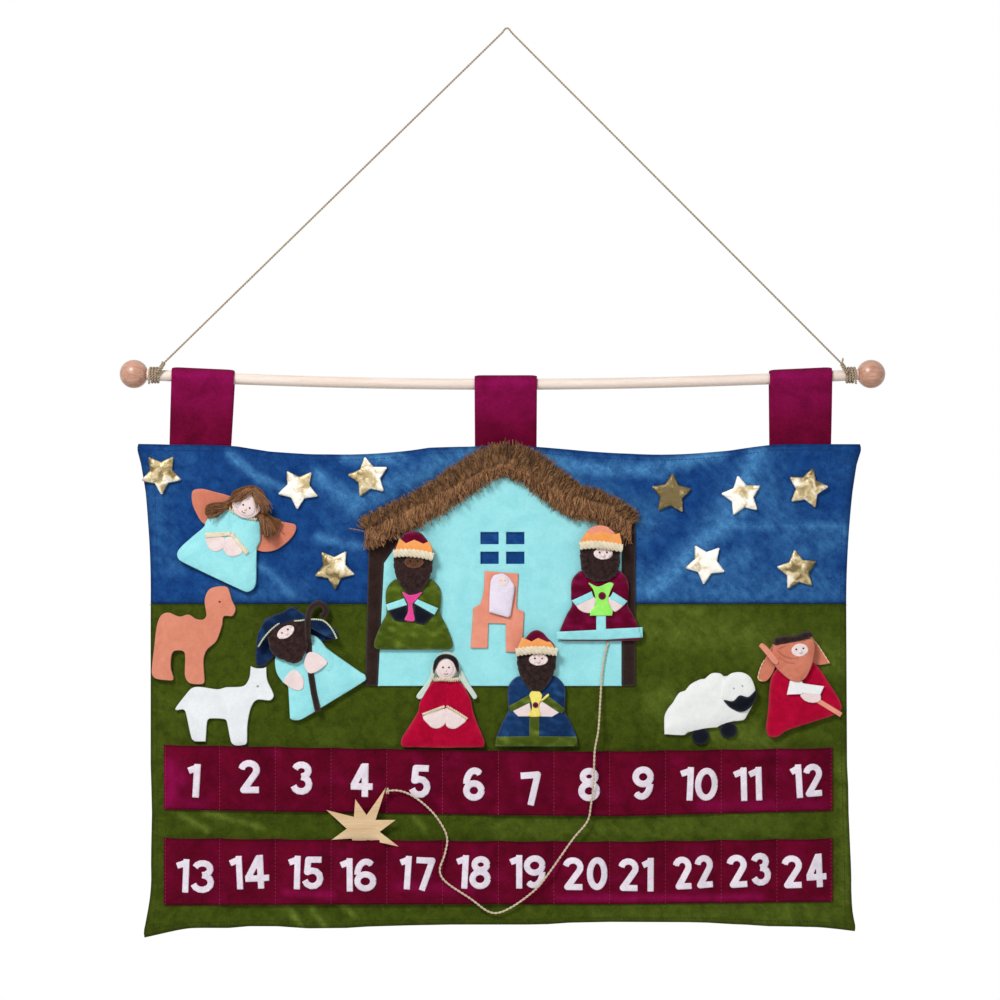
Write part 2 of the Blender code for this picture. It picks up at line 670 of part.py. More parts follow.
def cloth_point(share, down):
    """A point of the banner's outline surface: share across, and metres down from the top."""
    flare = TOP_CORNER * max(0.0, 1 - down / TOP_CORNER_REACH) ** 2
    flare += BOTTOM_CORNER * max(0.0, 1 - (BANNER_HEIGHT - down) / CORNER_REACH) ** 2
    from_side = min(share, 1 - share) * BANNER_WIDTH
    spread = flare * max(0.0, 1 - from_side / CORNER_DEPTH) ** 2
    x = BANNER_LEFT + share * BANNER_WIDTH + math.copysign(spread, share - 0.5)
    sag = (top_edge(share) - BANNER_TOP) * max(0.0, 1 - down / TOP_SAG_REACH)
    droop = BOTTOM_CORNER * max(0.0, 1 - from_side / CORNER_REACH) ** 2 * (down / BANNER_HEIGHT) ** 4
    return x, BANNER_TOP + sag - down - droop


def near_tab(share):
    """1 at a tab and just beside it, easing to 0 away from it."""
    most = 0.0
    for place in TAB_PLACE_SHARES:
        away = abs(share - place) * BANNER_WIDTH - TAB_WIDTH / 2 - TAB_SIDE_CLEARANCE
        most = max(most, ease(1 - away / TAB_EASE))
    return most


def fold_depth(x, z):
    """How far the folds draw the cloth back at a point, fading out before the horizon."""
    most = 0.0
    for ends in FOLD_SHARES:
        a, b = (
            Vector((BANNER_LEFT + u * BANNER_WIDTH, BANNER_TOP - v * BANNER_HEIGHT)) for u, v in ends
        )
        here = Vector((x, z))
        along = min(max((here - a).dot(b - a) / (b - a).length_squared, 0.0), 1.0)
        away = (here - a.lerp(b, along)).length / FOLD_WIDTH
        most = max(most, math.exp(-away * away))
    from_horizon = abs(z - BANNER_TOP + SKY_HEIGHT)
    return FOLD_DEPTH * most * ease(from_horizon / FOLD_WIDTH - 1)


def cloth_depth(share, down, x, z):
    """Y of the front cloth's inner side: flat over the banner, and drawn back to the seam at its edges."""
    side = ease(min(share, 1 - share) * BANNER_WIDTH / SEAM_MARGIN)
    foot = ease((BANNER_HEIGHT - down) / SEAM_MARGIN)
    head = max(near_tab(share), ease(down / SEAM_MARGIN))
    over_tab = near_tab(share) * ease(1 - (down - TAB_INSERT - TAB_SIDE_CLEARANCE) / TAB_EASE)
    full = side * foot * head
    return PANEL_FRONT - GAP - full * (2 * SEAM_HALF - GAP - fold_depth(x, z) * (1 - over_tab))


def filled(stations, step):
    """Stations with even ones added wherever two lie further apart than a step."""
    out = [stations[0]]
    for a, b in zip(stations, stations[1:]):
        count = max(1, math.ceil((b - a) / step - 0.01))
        out += [a + (b - a) * i / count for i in range(1, count + 1)]
    return out


def width_stations(step, with_tabs=False):
    """Shares across the banner for the cloth's columns, with columns at the tabs where they matter."""
    margin = SEAM_MARGIN / BANNER_WIDTH
    marks = {0.0, margin, 1 - margin, 1.0}
    if with_tabs:
        for place in TAB_PLACE_SHARES:
            for off in (TAB_WIDTH / 2 + TAB_SIDE_CLEARANCE, TAB_WIDTH / 2 + TAB_SIDE_CLEARANCE + TAB_EASE):
                for mark in (place - off / BANNER_WIDTH, place + off / BANNER_WIDTH):
                    if margin * 1.5 < mark < 1 - margin * 1.5:
                        marks.add(mark)
    return filled(sorted(marks), step / BANNER_WIDTH)


def front_cloth(name, columns, rows, material):
    """A front sheet of the banner: a grid laid over the banner and thickened towards the front."""
    bm = bmesh.new()
    bmesh.ops.create_grid(bm, x_segments=len(columns) - 1, y_segments=len(rows) - 1, size=0.5)
    for vert in bm.verts:
        share = columns[round((vert.co.x + 0.5) * (len(columns) - 1))]
        down = rows[round((0.5 - vert.co.y) * (len(rows) - 1))]
        x, z = cloth_point(share, down)
        vert.co = (x, cloth_depth(share, down, x, z), z)
    bmesh.ops.recalc_face_normals(bm, faces=bm.faces)
    if sum(face.normal.y for face in bm.faces) > 0:
        bmesh.ops.reverse_faces(bm, faces=bm.faces)
    mesh = bpy.data.meshes.new(name)
    bm.to_mesh(mesh)
    bm.free()
    smooth_mesh(mesh)
    obj = add(name, mesh, material)
    thicken(obj, FRONT_CLOTH)


def thicken(obj, thickness):
    """Solidify an open surface outwards along its normals."""
    solid = obj.modifiers.new("thickness", "SOLIDIFY")
    solid.thickness = thickness
    solid.offset = 1.0


def back_panel():
    """The flat back of the banner, with the same outline as the front sheets."""
    shares = width_stations(CLOTH_STEP)
    downs = filled([0.0, SEAM_MARGIN, BANNER_HEIGHT - SEAM_MARGIN, BANNER_HEIGHT], GROUND_STEP)
    outline = [cloth_point(s, 0.0) for s in shares]
    outline += [cloth_point(1.0, d) for d in downs[1:]]
    outline += [cloth_point(s, BANNER_HEIGHT) for s in reversed(shares[:-1])]
    outline += [cloth_point(0.0, d) for d in reversed(downs[1:-1])]
    rings = [[(x, y, z) for x, z in outline] for y in (PANEL_FRONT, PANEL_FRONT + BACK_CLOTH)]
    add("back_panel", loft(rings), SKY_BLUE)


def pocket_row(name, top_share, material, held=None):
    """A strip sewn down between its pockets, at its ends and along its foot, and open along its top.

    The held pocket is the one that the comet star's foot holds open.
    """
    columns = POCKET_COUNT * POCKET_CELLS
    rows = len(POCKET_ROW_SHARES) - 1
    top = BANNER_TOP - top_share * BANNER_HEIGHT
    bm = bmesh.new()
    bmesh.ops.create_grid(bm, x_segments=columns, y_segments=rows, size=0.5)
    for vert in bm.verts:
        column = round((vert.co.x + 0.5) * columns)
        down = POCKET_ROW_SHARES[round((0.5 - vert.co.y) * rows)]
        across = column % POCKET_CELLS / POCKET_CELLS
        swell = HELD_POCKET_BULGE if column // POCKET_CELLS == held else POCKET_BULGE
        bulge = swell * math.sin(math.pi * across) * (1 - down * down)
        vert.co = (
            POCKET_ROW_LEFT + column / POCKET_CELLS * POCKET_PITCH,
            CLOTH_FACE - GAP - bulge,
            top - down * POCKET_HEIGHT,
        )
    bmesh.ops.recalc_face_normals(bm, faces=bm.faces)
    if sum(face.normal.y for face in bm.faces) > 0:
        bmesh.ops.reverse_faces(bm, faces=bm.faces)
    mesh = bpy.data.meshes.new(name)
    bm.to_mesh(mesh)
    bm.free()
    smooth_mesh(mesh)
    thicken(add(name, mesh, material), POCKET_CLOTH)


def stable_spot(x_share, z_share):
    return STABLE_LEFT + x_share * STABLE_WIDTH, STABLE_FOOT + z_share * STABLE_HEIGHT


def stable():
    """The felt wall with its four window panes, and a post on each side, the left one with its brace."""
    corner, bend, (foot, inner_top, outer_top) = BRACE_SHARES
    gable_left, apex, gable_right = GABLE_SHARES
    width, height = STABLE_WIDTH, STABLE_HEIGHT
    right = width - POST_WIDTH
    left_post = [
        (0, 0), (POST_WIDTH, 0), (POST_WIDTH, foot * height), (bend[0] * width, bend[1] * height),
        (corner[0] * width, corner[1] * height), (corner[0] * width, inner_top * height),
        (0, outer_top * height),
    ]
    wall = [
        (POST_WIDTH + GAP, 0), (right - GAP, 0), (right - GAP, gable_right * height),
        (apex * width, height), (corner[0] * width + GAP, gable_left * height),
        (corner[0] * width + GAP, corner[1] * height), (bend[0] * width + GAP, bend[1] * height - GAP),
        (POST_WIDTH + GAP, foot * height - GAP),
    ]
    panes = []
    for sx in (-1, 1):
        for sz in (-1, 1):
            x = WINDOW_SHARES[0] * width + sx * (MULLION + PANE_WIDTH) / 2
            z = WINDOW_SHARES[1] * height + sz * (MULLION + PANE_HEIGHT) / 2
            hx, hz = PANE_WIDTH / 2, PANE_HEIGHT / 2
            panes.append([(x - hx, z - hz), (x - hx, z + hz), (x + hx, z + hz), (x + hx, z - hz)])
    right_post = [
        (right, 0), (width, 0), (width, (gable_right - POST_WIDTH / width) * height), (right, gable_right * height),
    ]
    spot = (STABLE_LEFT, STABLE_FOOT)
    back = CLOTH_FACE - GAP
    add_felt("stable_wall", [wall, *panes], FELT, back, LIGHT_BLUE, spot)
    add_felt("post_left", [left_post], FELT, back, DARK_BROWN, spot)
    add_felt("post_right", [right_post], FELT, back, DARK_BROWN, spot)


def ridge_point(share):
    """A point of the line between the two thatch bands, from the left end over the apex to the right."""
    left, apex, right = (Vector(stable_spot(*shares)) for shares in RIDGE_SHARES)
    if share < 0.5:
        return left.lerp(apex, share * 2)
    return apex.lerp(right, share * 2 - 1)


def thatch(name, side, material, seed):
    """A band of straw: a backing strip whose front cells are each drawn out into one leaning straw."""
    front = WALL_FACE - GAP - THATCH_BACKING
    chance = random.Random(seed)
    bm = bmesh.new()
    bmesh.ops.create_grid(bm, x_segments=THATCH_COLUMNS, y_segments=THATCH_ROWS, size=0.5)
    for vert in bm.verts:
        x, z = ridge_point(vert.co.x + 0.5)
        vert.co = (x, front, z + side * (GAP / 2 + (vert.co.y + 0.5) * THATCH_BAND))
    cells = list(bm.faces)
    grown = bmesh.ops.extrude_face_region(bm, geom=cells)["geom"]
    back_verts = [item for item in grown if isinstance(item, bmesh.types.BMVert)]
    back_faces = [item for item in grown if isinstance(item, bmesh.types.BMFace)]
    bmesh.ops.translate(bm, verts=back_verts, vec=(0, THATCH_BACKING, 0))
    bmesh.ops.dissolve_faces(bm, faces=back_faces)
    left, apex, right = (Vector(stable_spot(*shares)) for shares in RIDGE_SHARES)
    tips = bmesh.ops.poke(bm, faces=cells)["verts"]
    for tip in tips:
        arm = apex - left if tip.co.x < apex.x else right - apex
        out = Vector((-arm.y, arm.x)).normalized() if side > 0 else Vector((0.0, -1.0))
        length = STRAW_LENGTH + chance.uniform(-STRAW_SPREAD, STRAW_SPREAD)
        across = chance.uniform(-STRAW_SPREAD, STRAW_SPREAD) / 2
        tip.co += Vector((out.x * length + across, -STRAW_LIFT, out.y * length))
    face_outwards(bm)
    mesh = bpy.data.meshes.new(name)
    bm.to_mesh(mesh)
    bm.free()
    add(name, mesh, material)


def banner_spot(shares):
    """A place on the banner from shares of its width and height."""
    return BANNER_LEFT + shares[0] * BANNER_WIDTH, BANNER_TOP - shares[1] * BANNER_HEIGHT


def add_stuffed(name, mesh, material, spot, lean=0.0):
    return add(name, mesh, material, (spot[0], 0, spot[1]), (0, lean, 0))


def gold_star(name, x_share, z_share, turn_degrees):
    """A five-pointed padded star with a hook dot on its back."""
    outline = []
    for i in range(2 * STAR_POINTS):
        angle = math.radians(90 + turn_degrees) + math.pi * i / STAR_POINTS
        reach = STAR_RADIUS * (STAR_INNER_SHARE if i % 2 else 1)
        outline.append((reach * math.cos(angle), reach * math.sin(angle)))
    back = CLOTH_FACE - GAP - HOOK_DOT
    mesh = stuffed(outline, back, STAR_WALL, STAR_CROWN, (0, 0), HOOK_DOT)
    add_stuffed(name, mesh, GOLD, banner_spot((x_share, z_share)))


def felt_animal(name, outline, material, place, dot_spot):
    """A flat felt animal with a hook dot joined to its back."""
    back = CLOTH_FACE - GAP - HOOK_DOT
    curve = flat_curve([outline], FELT)
    loose = bpy.data.objects.new(name, curve)
    loose.location = (place[0], back - FELT / 2, place[1])
    loose.rotation_euler = (math.pi / 2, 0, 0)
    parts.objects.link(loose)
    bpy.context.view_layer.update()
    mesh = bpy.data.meshes.new_from_object(loose.evaluated_get(bpy.context.evaluated_depsgraph_get()))
    world = loose.matrix_world.copy()
    bpy.data.objects.remove(loose, do_unlink=True)
    mesh.transform(world)
    bm = bmesh.new()
    bm.from_mesh(mesh)
    bmesh.ops.remove_doubles(bm, verts=bm.verts, dist=GAP / 30)
    face_outwards(bm)
    bm.to_mesh(mesh)
    bm.free()
    mesh.materials.clear()
    animal = add(name, mesh, material)
    sunk = FELT / 4
    bpy.ops.mesh.primitive_cylinder_add(
        vertices=12,
        radius=HOOK_DOT_RADIUS,
        depth=HOOK_DOT + sunk,
        location=(place[0] + dot_spot[0], back + (HOOK_DOT - sunk) / 2, place[1] + dot_spot[1]),
        rotation=(math.pi / 2, 0, 0),
    )
    dot = bpy.context.object
    dot.name = name + "_dot"
    for collection in list(dot.users_collection):
        collection.objects.unlink(dot)
    cutters.objects.link(dot)
    dot.hide_render = True
    dot.display_type = "WIRE"
    join = animal.modifiers.new("hook_dot", "BOOLEAN")
    join.operation = "UNION"
    join.object = dot


def animals():
    """The camel, the goat, and the sheep with its head laid over its fleece."""
    spot = banner_spot(CAMEL_PLACE_SHARES)
    outline = sized(CAMEL_SHARES, CAMEL_WIDTH, CAMEL_HEIGHT)
    felt_animal("camel", outline, SALMON, spot, (-CAMEL_WIDTH * 0.15, CAMEL_HEIGHT * 0.5))
    spot = banner_spot(GOAT_PLACE_SHARES)
    outline = sized(GOAT_SHARES, GOAT_WIDTH, GOAT_HEIGHT)
    felt_animal("goat", outline, WHITE, spot, (-GOAT_WIDTH * 0.08, GOAT_HEIGHT * 0.53))
    spot = banner_spot(SHEEP_PLACE_SHARES)
    back = CLOTH_FACE - GAP - HOOK_DOT
    fleece = sized(SHEEP_SHARES, SHEEP_WIDTH, SHEEP_HEIGHT)
    centre = (SHEEP_WIDTH * 0.07, SHEEP_HEIGHT * 0.55)
    add_stuffed("sheep_fleece", stuffed(fleece, back, BODY_WALL, BODY_CROWN, centre, HOOK_DOT), WHITE, spot)
    side = SHEEP_HEAD_SHARES[0] * SHEEP_WIDTH
    rise = SHEEP_HEAD_SHARES[1] * SHEEP_HEIGHT
    head = oval(SHEEP_HEAD_WIDTH, SHEEP_HEAD_HEIGHT, side, rise)
    back = back - BODY_WALL - BODY_CROWN - GAP
    add_stuffed("sheep_head", stuffed(head, back, CROWN_WALL, CROWN_CROWN), WHITE, spot)


def child():
    """The child in its swaddling, which lifts off the manger."""
    back = WALL_FACE - GAP - FELT - GAP - HOOK_DOT
    outline = sized(CHILD_SHARES, CHILD_WIDTH, CHILD_HEIGHT)
    mesh = stuffed(outline, back, CROWN_WALL, HEAD_CROWN, dot=HOOK_DOT)
    add_stuffed("child", mesh, WHITE, banner_spot(CHILD_PLACE_SHARES))


def dressed_doll(name, seat, clear, gown, gown_look, behind=None, stick=None, head=None, front=None):
    """A doll built up in layers of felt: a piece behind the gown, the gown, a stick, the head, the front.

    seat is the surface that its hook dot meets, and clear is what its back has to stay in front of.
    """
    shares, degrees = DOLL_PLACES[name]
    spot = banner_spot(shares)
    lean = math.radians(degrees)
    back = min(seat - GAP - HOOK_DOT, clear - GAP)
    if behind:
        node, outline, material = behind
        add_felt(name + node, [outline], BACK_FELT, back, material, spot, lean)
        back -= BACK_FELT + GAP
    outline = mirrored(GOWN_SHARES, *gown)
    centre = (0, gown[1] * 0.45)
    mesh = stuffed(outline, back, BODY_WALL, BODY_CROWN, centre, seat - GAP - back)
    add_stuffed(name + "_gown", mesh, gown_look, spot, lean)
    back -= BODY_WALL + BODY_CROWN + GAP
    if stick:
        node, outline, material = stick
        add_felt(name + node, [outline], STICK_FELT, back, material, spot, lean)
        back -= STICK_FELT + GAP
    if front and front[3]:
        node, outline, material, _ = front
        add_felt(name + node, [outline], BACK_FELT, back, material, spot, lean)
        back -= BACK_FELT + GAP
    outline, material = head
    add_stuffed(name + "_head", stuffed(outline, back, HEAD_WALL, HEAD_CROWN), material, spot, lean)
    back -= HEAD_WALL + HEAD_CROWN + GAP
    if front and not front[3]:
        node, outline, material, _ = front
        add_stuffed(name + node, stuffed(outline, back, CROWN_WALL, CROWN_CROWN), material, spot, lean)


def king(name, seat, clear, gown_look):
    head = mirrored(BEARD_SHARES, *KING_HEAD, 0.0, KING_HEAD_RISE)
    crown = mirrored(CROWN_SHARES, *KING_CROWN, 0.0, KING_CROWN_RISE)
    front = ("_crown", crown, ORANGE, False)
    dressed_doll(name, seat, clear, KING_GOWN, gown_look, head=(head, DARK_BROWN), front=front)


def mother():
    veil = mirrored(VEIL_SHARES, *MOTHER_VEIL, 0.0, MOTHER_VEIL_RISE)
    head = oval(*MOTHER_HEAD, 0.0, MOTHER_HEAD_RISE)
    behind = ("_veil", veil, VEIL_GREY)
    dressed_doll("mother", CLOTH_FACE, WALL_FACE, MOTHER_GOWN, CRIMSON, behind=behind, head=(head, SKIN))


def angel():
    wings = mirrored(WING_SHARES, *ANGEL_WINGS, ANGEL_WINGS_SIDE, ANGEL_WINGS_RISE)
    hair = mirrored(HAIR_SHARES, *ANGEL_HAIR, 0.0, ANGEL_HAIR_RISE)
    head = oval(*ANGEL_HEAD, 0.0, ANGEL_HEAD_RISE)
    behind = ("_wings", wings, SALMON)
    front = ("_hair", hair, HAIR_BROWN, True)
    dressed_doll("angel", CLOTH_FACE, CLOTH_FACE, ANGEL_GOWN, LIGHT_BLUE, behind=behind, head=(head, SKIN), front=front)


def crook_outline():
    """A straight shaft that ends in a hook turned over to the right."""
    foot = Vector(CROOK_FOOT)
    lean = math.radians(CROOK_LEAN_DEGREES)
    up = Vector((math.sin(lean), math.cos(lean)))
    over = Vector((up.y, -up.x))
    top = foot + up * CROOK_SHAFT
    path = [foot, foot.lerp(top, 0.5), top]
    steps = 7
    for i in range(1, steps + 1):
        turn = math.pi * 1.25 * i / steps
        path.append(top + over * CROOK_RADIUS * (1 - math.cos(turn)) + up * CROOK_RADIUS * math.sin(turn))
    return ribbon([tuple(p) for p in path], STICK_WIDTH)


def shepherds():
    """The left shepherd with a crook, and the right one with a staff across the chest."""
    cloth = sized(LEFT_CLOTH_SHARES, *LEFT_CLOTH, 0.0, LEFT_CLOTH_RISE)
    head = mirrored(BEARD_SHARES, *SHEPHERD_HEAD, SHEPHERD_HEAD_SIDE, SHEPHERD_HEAD_RISE)
    dressed_doll(
        "shepherd_left", CLOTH_FACE, CLOTH_FACE, SHEPHERD_GOWN, LIGHT_BLUE,
        behind=("_headcloth", cloth, NAVY), stick=("_crook", crook_outline(), DARK_BROWN), head=(head, DARK_BROWN),
    )
    cloth = sized(RIGHT_CLOTH_SHARES, *RIGHT_CLOTH, RIGHT_CLOTH_SIDE, RIGHT_CLOTH_RISE)
    head = mirrored(BEARD_SHARES, *RIGHT_HEAD, RIGHT_HEAD_SIDE, RIGHT_HEAD_RISE)
    lean = math.radians(STAFF_LEAN_DEGREES)
    foot = Vector((STAFF_FOOT_SIDE, 0.0))
    top = foot + Vector((math.sin(lean), math.cos(lean))) * STAFF_LENGTH
    staff = ribbon([tuple(foot), tuple(foot.lerp(top, 0.5)), tuple(top)], STICK_WIDTH)
    dressed_doll(
        "shepherd_right", CLOTH_FACE, CLOTH_FACE, RIGHT_GOWN, CRIMSON,
        behind=("_headcloth", cloth, SALMON), stick=("_staff", staff, SALMON), head=(head, SALMON),
    )


def comet_star():
    """The wooden comet star: its foot is tucked into a pocket, and its top leans out over the row above."""
    x = POCKET_ROW_LEFT + (HELD_POCKET + COMET_SIDE_SHARE) * POCKET_PITCH
    z = BANNER_TOP - LOWER_ROW_SHARE * BANNER_HEIGHT - COMET_TUCK
    outline = sized(COMET_SHARES, COMET_WIDTH, COMET_HEIGHT)
    curve = flat_curve([outline], COMET_THICKNESS)
    lean = math.radians(COMET_LEAN_DEGREES)
    y = CLOTH_FACE - COMET_SEAT_DEPTH - COMET_THICKNESS / 2
    add("comet_star", curve, COMET_WOOD, (x, y, z), (math.pi / 2 + lean, 0, 0))


# Route of the comet star's string, from its stitch on the stable wall to the star's long point: X as a share
# of the banner's width, then Y and Z
COMET_ROUTE = (
    (0.14388, -0.0043, -0.6160),
    (0.14173, -0.0045, -0.6420),
    (0.13381, -0.0068, -0.6730),
    (0.13094, -0.0122, -0.7000),
    (0.12590, -0.0140, -0.7190),
    (0.12489, -0.0142, -0.7320),
    (0.12374, -0.0118, -0.7550),
    (0.12029, -0.0075, -0.7760),
    (0.11511, -0.0066, -0.7920),
    (0.09353, -0.0096, -0.8100),
    (0.05899, -0.0100, -0.8440),
    (0.03827, -0.0084, -0.8610),
    (0.00288, -0.0044, -0.8790),
    (-0.02302, -0.0040, -0.8830),
    (-0.05324, -0.0066, -0.8685),
    (-0.08777, -0.0078, -0.8520),
    (-0.09640, -0.0084, -0.8400),
    (-0.08921, -0.0070, -0.8240),
    (-0.08633, -0.0058, -0.8070),
    (-0.10072, -0.0060, -0.7880),
    (-0.12144, -0.0086, -0.7730),
    (-0.14245, -0.0098, -0.7635),
    (-0.15971, -0.0096, -0.7605),
    (-0.17424, -0.0094, -0.7615),
)


def comet_cord():
    knots = [(share * BANNER_WIDTH, y, z) for share, y, z in COMET_ROUTE]
    route = smooth_route(knots, COMET_CORD_STEP)
    gap = least_gap(route, COMET_CORD_DIAMETER)
    print(f"comet_cord: {len(route)} points, least gap to itself {gap * 1000:.2f} mm")
    add("comet_cord", tube(route, COMET_CORD_DIAMETER), STRING)


def banner():
    sky_rows = filled([0.0, SEAM_MARGIN, TAB_INSERT + TAB_SIDE_CLEARANCE, SKY_HEIGHT - GAP / 2], CLOTH_STEP)
    ground_rows = filled([SKY_HEIGHT + GAP / 2, BANNER_HEIGHT - SEAM_MARGIN, BANNER_HEIGHT], GROUND_STEP)
    front_cloth("sky_cloth", width_stations(CLOTH_STEP, True), sky_rows, SKY_BLUE)
    front_cloth("ground_cloth", width_stations(GROUND_STEP), ground_rows, GRASS)
    back_panel()
    for name, share in zip(("tab_left", "tab_centre", "tab_right"), TAB_PLACE_SHARES):
        tab(name, share)
    pocket_row("pocket_row_upper", UPPER_ROW_SHARE, BURGUNDY)
    pocket_row("pocket_row_lower", LOWER_ROW_SHARE, BURGUNDY, HELD_POCKET)


def main():
    hanging_cord()
    for name, hand in (("left", -1), ("right", 1)):
        cord_winding("cord_winding_" + name, hand)
        ball("ball_" + name, hand)
    rod()
    banner()
    stable()
    thatch("thatch_upper", 1, THATCH_DARK, 3)
    thatch("thatch_lower", -1, THATCH_LIGHT, 4)
    manger = sized(MANGER_OUTLINE_SHARES, MANGER_WIDTH, MANGER_HEIGHT)
    add_felt("manger", [manger], FELT, WALL_FACE - GAP, SALMON, stable_spot(*MANGER_SHARES))
    child()
    for star in STAR_PLACE_SHARES:
        gold_star(*star)
    animals()
    king("king_green", WALL_FACE, WALL_FACE, OLIVE)
    king("king_burgundy", WALL_FACE, WALL_FACE, BURGUNDY)
    king("king_blue", CLOTH_FACE, WALL_FACE, NAVY)
    mother()
    angel()
    shepherds()
    comet_star()
    comet_cord()


main()
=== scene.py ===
import json
import math

import bpy
import numpy as np
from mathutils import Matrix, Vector, geometry, noise

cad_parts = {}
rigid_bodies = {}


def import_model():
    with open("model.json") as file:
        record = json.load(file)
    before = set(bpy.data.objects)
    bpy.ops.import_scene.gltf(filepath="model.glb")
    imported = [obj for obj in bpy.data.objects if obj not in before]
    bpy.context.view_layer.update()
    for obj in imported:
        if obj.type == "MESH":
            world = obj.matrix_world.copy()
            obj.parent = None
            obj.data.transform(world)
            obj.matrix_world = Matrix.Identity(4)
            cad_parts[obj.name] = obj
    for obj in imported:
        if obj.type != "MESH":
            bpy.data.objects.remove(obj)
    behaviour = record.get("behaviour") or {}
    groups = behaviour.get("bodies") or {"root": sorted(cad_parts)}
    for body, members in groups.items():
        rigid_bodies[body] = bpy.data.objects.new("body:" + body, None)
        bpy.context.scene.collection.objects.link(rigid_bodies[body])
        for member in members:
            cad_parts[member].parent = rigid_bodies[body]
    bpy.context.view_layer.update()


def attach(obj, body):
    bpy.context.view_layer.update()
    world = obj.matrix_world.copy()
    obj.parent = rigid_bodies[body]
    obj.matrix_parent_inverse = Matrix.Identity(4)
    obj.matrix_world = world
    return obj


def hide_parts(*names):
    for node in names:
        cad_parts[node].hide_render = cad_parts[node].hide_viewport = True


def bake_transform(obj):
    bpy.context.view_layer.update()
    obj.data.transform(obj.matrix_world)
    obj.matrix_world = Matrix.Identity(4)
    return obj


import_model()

# The view. The calendar hangs from its nail against white, seen square from the front, under a large soft
# lamp above and a little to the left, with a weaker one at the right.
WHITE = (1, 1, 1, 1)


def feed(tree, socket, value):
    """Link a socket to another one, or set its value."""
    if isinstance(value, bpy.types.NodeSocket):
        tree.links.new(value, socket)
    else:
        socket.default_value = value


def node_in(tree, kind, fed=(), **settings):
    """A node with its settings, and its sockets fed by name or number."""
    node = tree.nodes.new(kind)
    for setting, value in settings.items():
        setattr(node, setting, value)
    for socket, value in fed:
        feed(tree, node.inputs[socket], value)
    return node


def reckon(tree, operation, *values):
    """A Math node on sockets or numbers."""
    return node_in(tree, "ShaderNodeMath", enumerate(values), operation=operation).outputs[0]


def start_look(name, **values):
    """A material with its tree and its shader's sockets, those named set to a value."""
    look = bpy.data.materials.new(name)
    look.use_nodes = True
    sockets = look.node_tree.nodes["Principled BSDF"].inputs
    for socket, value in values.items():
        sockets[socket.replace("_", " ")].default_value = value
    return look, look.node_tree, sockets


stage = bpy.context.scene
stage.view_settings.view_transform = "Standard"
camera = bpy.data.objects.new("camera", bpy.data.cameras.new("camera"))
camera.data.sensor_width = 36
camera.data.lens = 115.2
camera.location = (-0.007, -3.2, -0.471)
camera.rotation_euler = (math.pi / 2, 0, 0)
stage.collection.objects.link(camera)
stage.camera = camera
for lamp_name, power, size, place in (("key", 58, 0.7, (-1.15, -2, 1.15)), ("fill", 9, 1.4, (1.5, -2.4, -0.3))):
    lamp = bpy.data.objects.new(lamp_name, bpy.data.lights.new(lamp_name, "AREA"))
    lamp.data.energy = power
    lamp.data.size = size
    lamp.location = place
    lamp.rotation_euler = (Vector((0, 0, -0.65)) - Vector(place)).to_track_quat("-Z", "Y").to_euler()
    stage.collection.objects.link(lamp)
stage.world = bpy.data.worlds.new("studio")
stage.world.use_nodes = True
sky = stage.world.node_tree
sky.nodes.clear()
rays = sky.nodes.new("ShaderNodeLightPath").outputs
seen = reckon(sky, "MAXIMUM", rays["Is Camera Ray"], rays["Is Glossy Ray"])
seen = reckon(sky, "MAXIMUM", seen, rays["Is Transmission Ray"])
soft = node_in(sky, "ShaderNodeBackground", (("Color", WHITE), ("Strength", 0.32)))
bright = node_in(sky, "ShaderNodeBackground", (("Color", WHITE), ("Strength", 1)))
shown = node_in(sky, "ShaderNodeMixShader", ((0, seen), (1, soft.outputs[0]), (2, bright.outputs[0])))
node_in(sky, "ShaderNodeOutputWorld", ((0, shown.outputs[0]),))
FLOOR_Z = -1.25
floor_mesh = bpy.data.meshes.new("floor")
floor_mesh.from_pydata([(-2, -1.6, FLOOR_Z), (2, -1.6, FLOOR_Z), (2, 1.2, FLOOR_Z), (-2, 1.2, FLOOR_Z)], [],
    [(0, 1, 2, 3)])
floor_mesh.materials.append(start_look("pale_floor", Base_Color=(0.82, 0.82, 0.82, 1), Roughness=0.9)[0])
floor = bpy.data.objects.new("floor", floor_mesh)
stage.collection.objects.link(floor)

# The hanging cord: one length of two-ply jute twine, wound three times round the rod beside each ball,
# knotted there, and hung over the nail. Its hairs stand out a little.
MM = 0.001
NAIL_TOP = 1.1
CORD_WIDTH = 2.2
LAY_STEPS = 7  # points along one turn of a twine's plies
ROD_RADIUS, ROD_HALF, ROD_BOW, ROD_MIDDLE = 5.5, 368.5, 10.3, (-4.5, -345)
WINDING_RADIUS, WINDING_PITCH, WINDING_REACH = 7.15, 2.9, 348
winding_axis = ROD_MIDDLE[1] - ROD_BOW * (1 - (WINDING_REACH / ROD_HALF) ** 2)


def dye(red, green, blue):
    """A colour as written on a dyer's card, 0 to 255, made linear."""
    return tuple(c / 3294.6 if c <= 10 else ((c / 255 + 0.055) / 1.055) ** 2.4 for c in (red, green, blue)) + (1,)


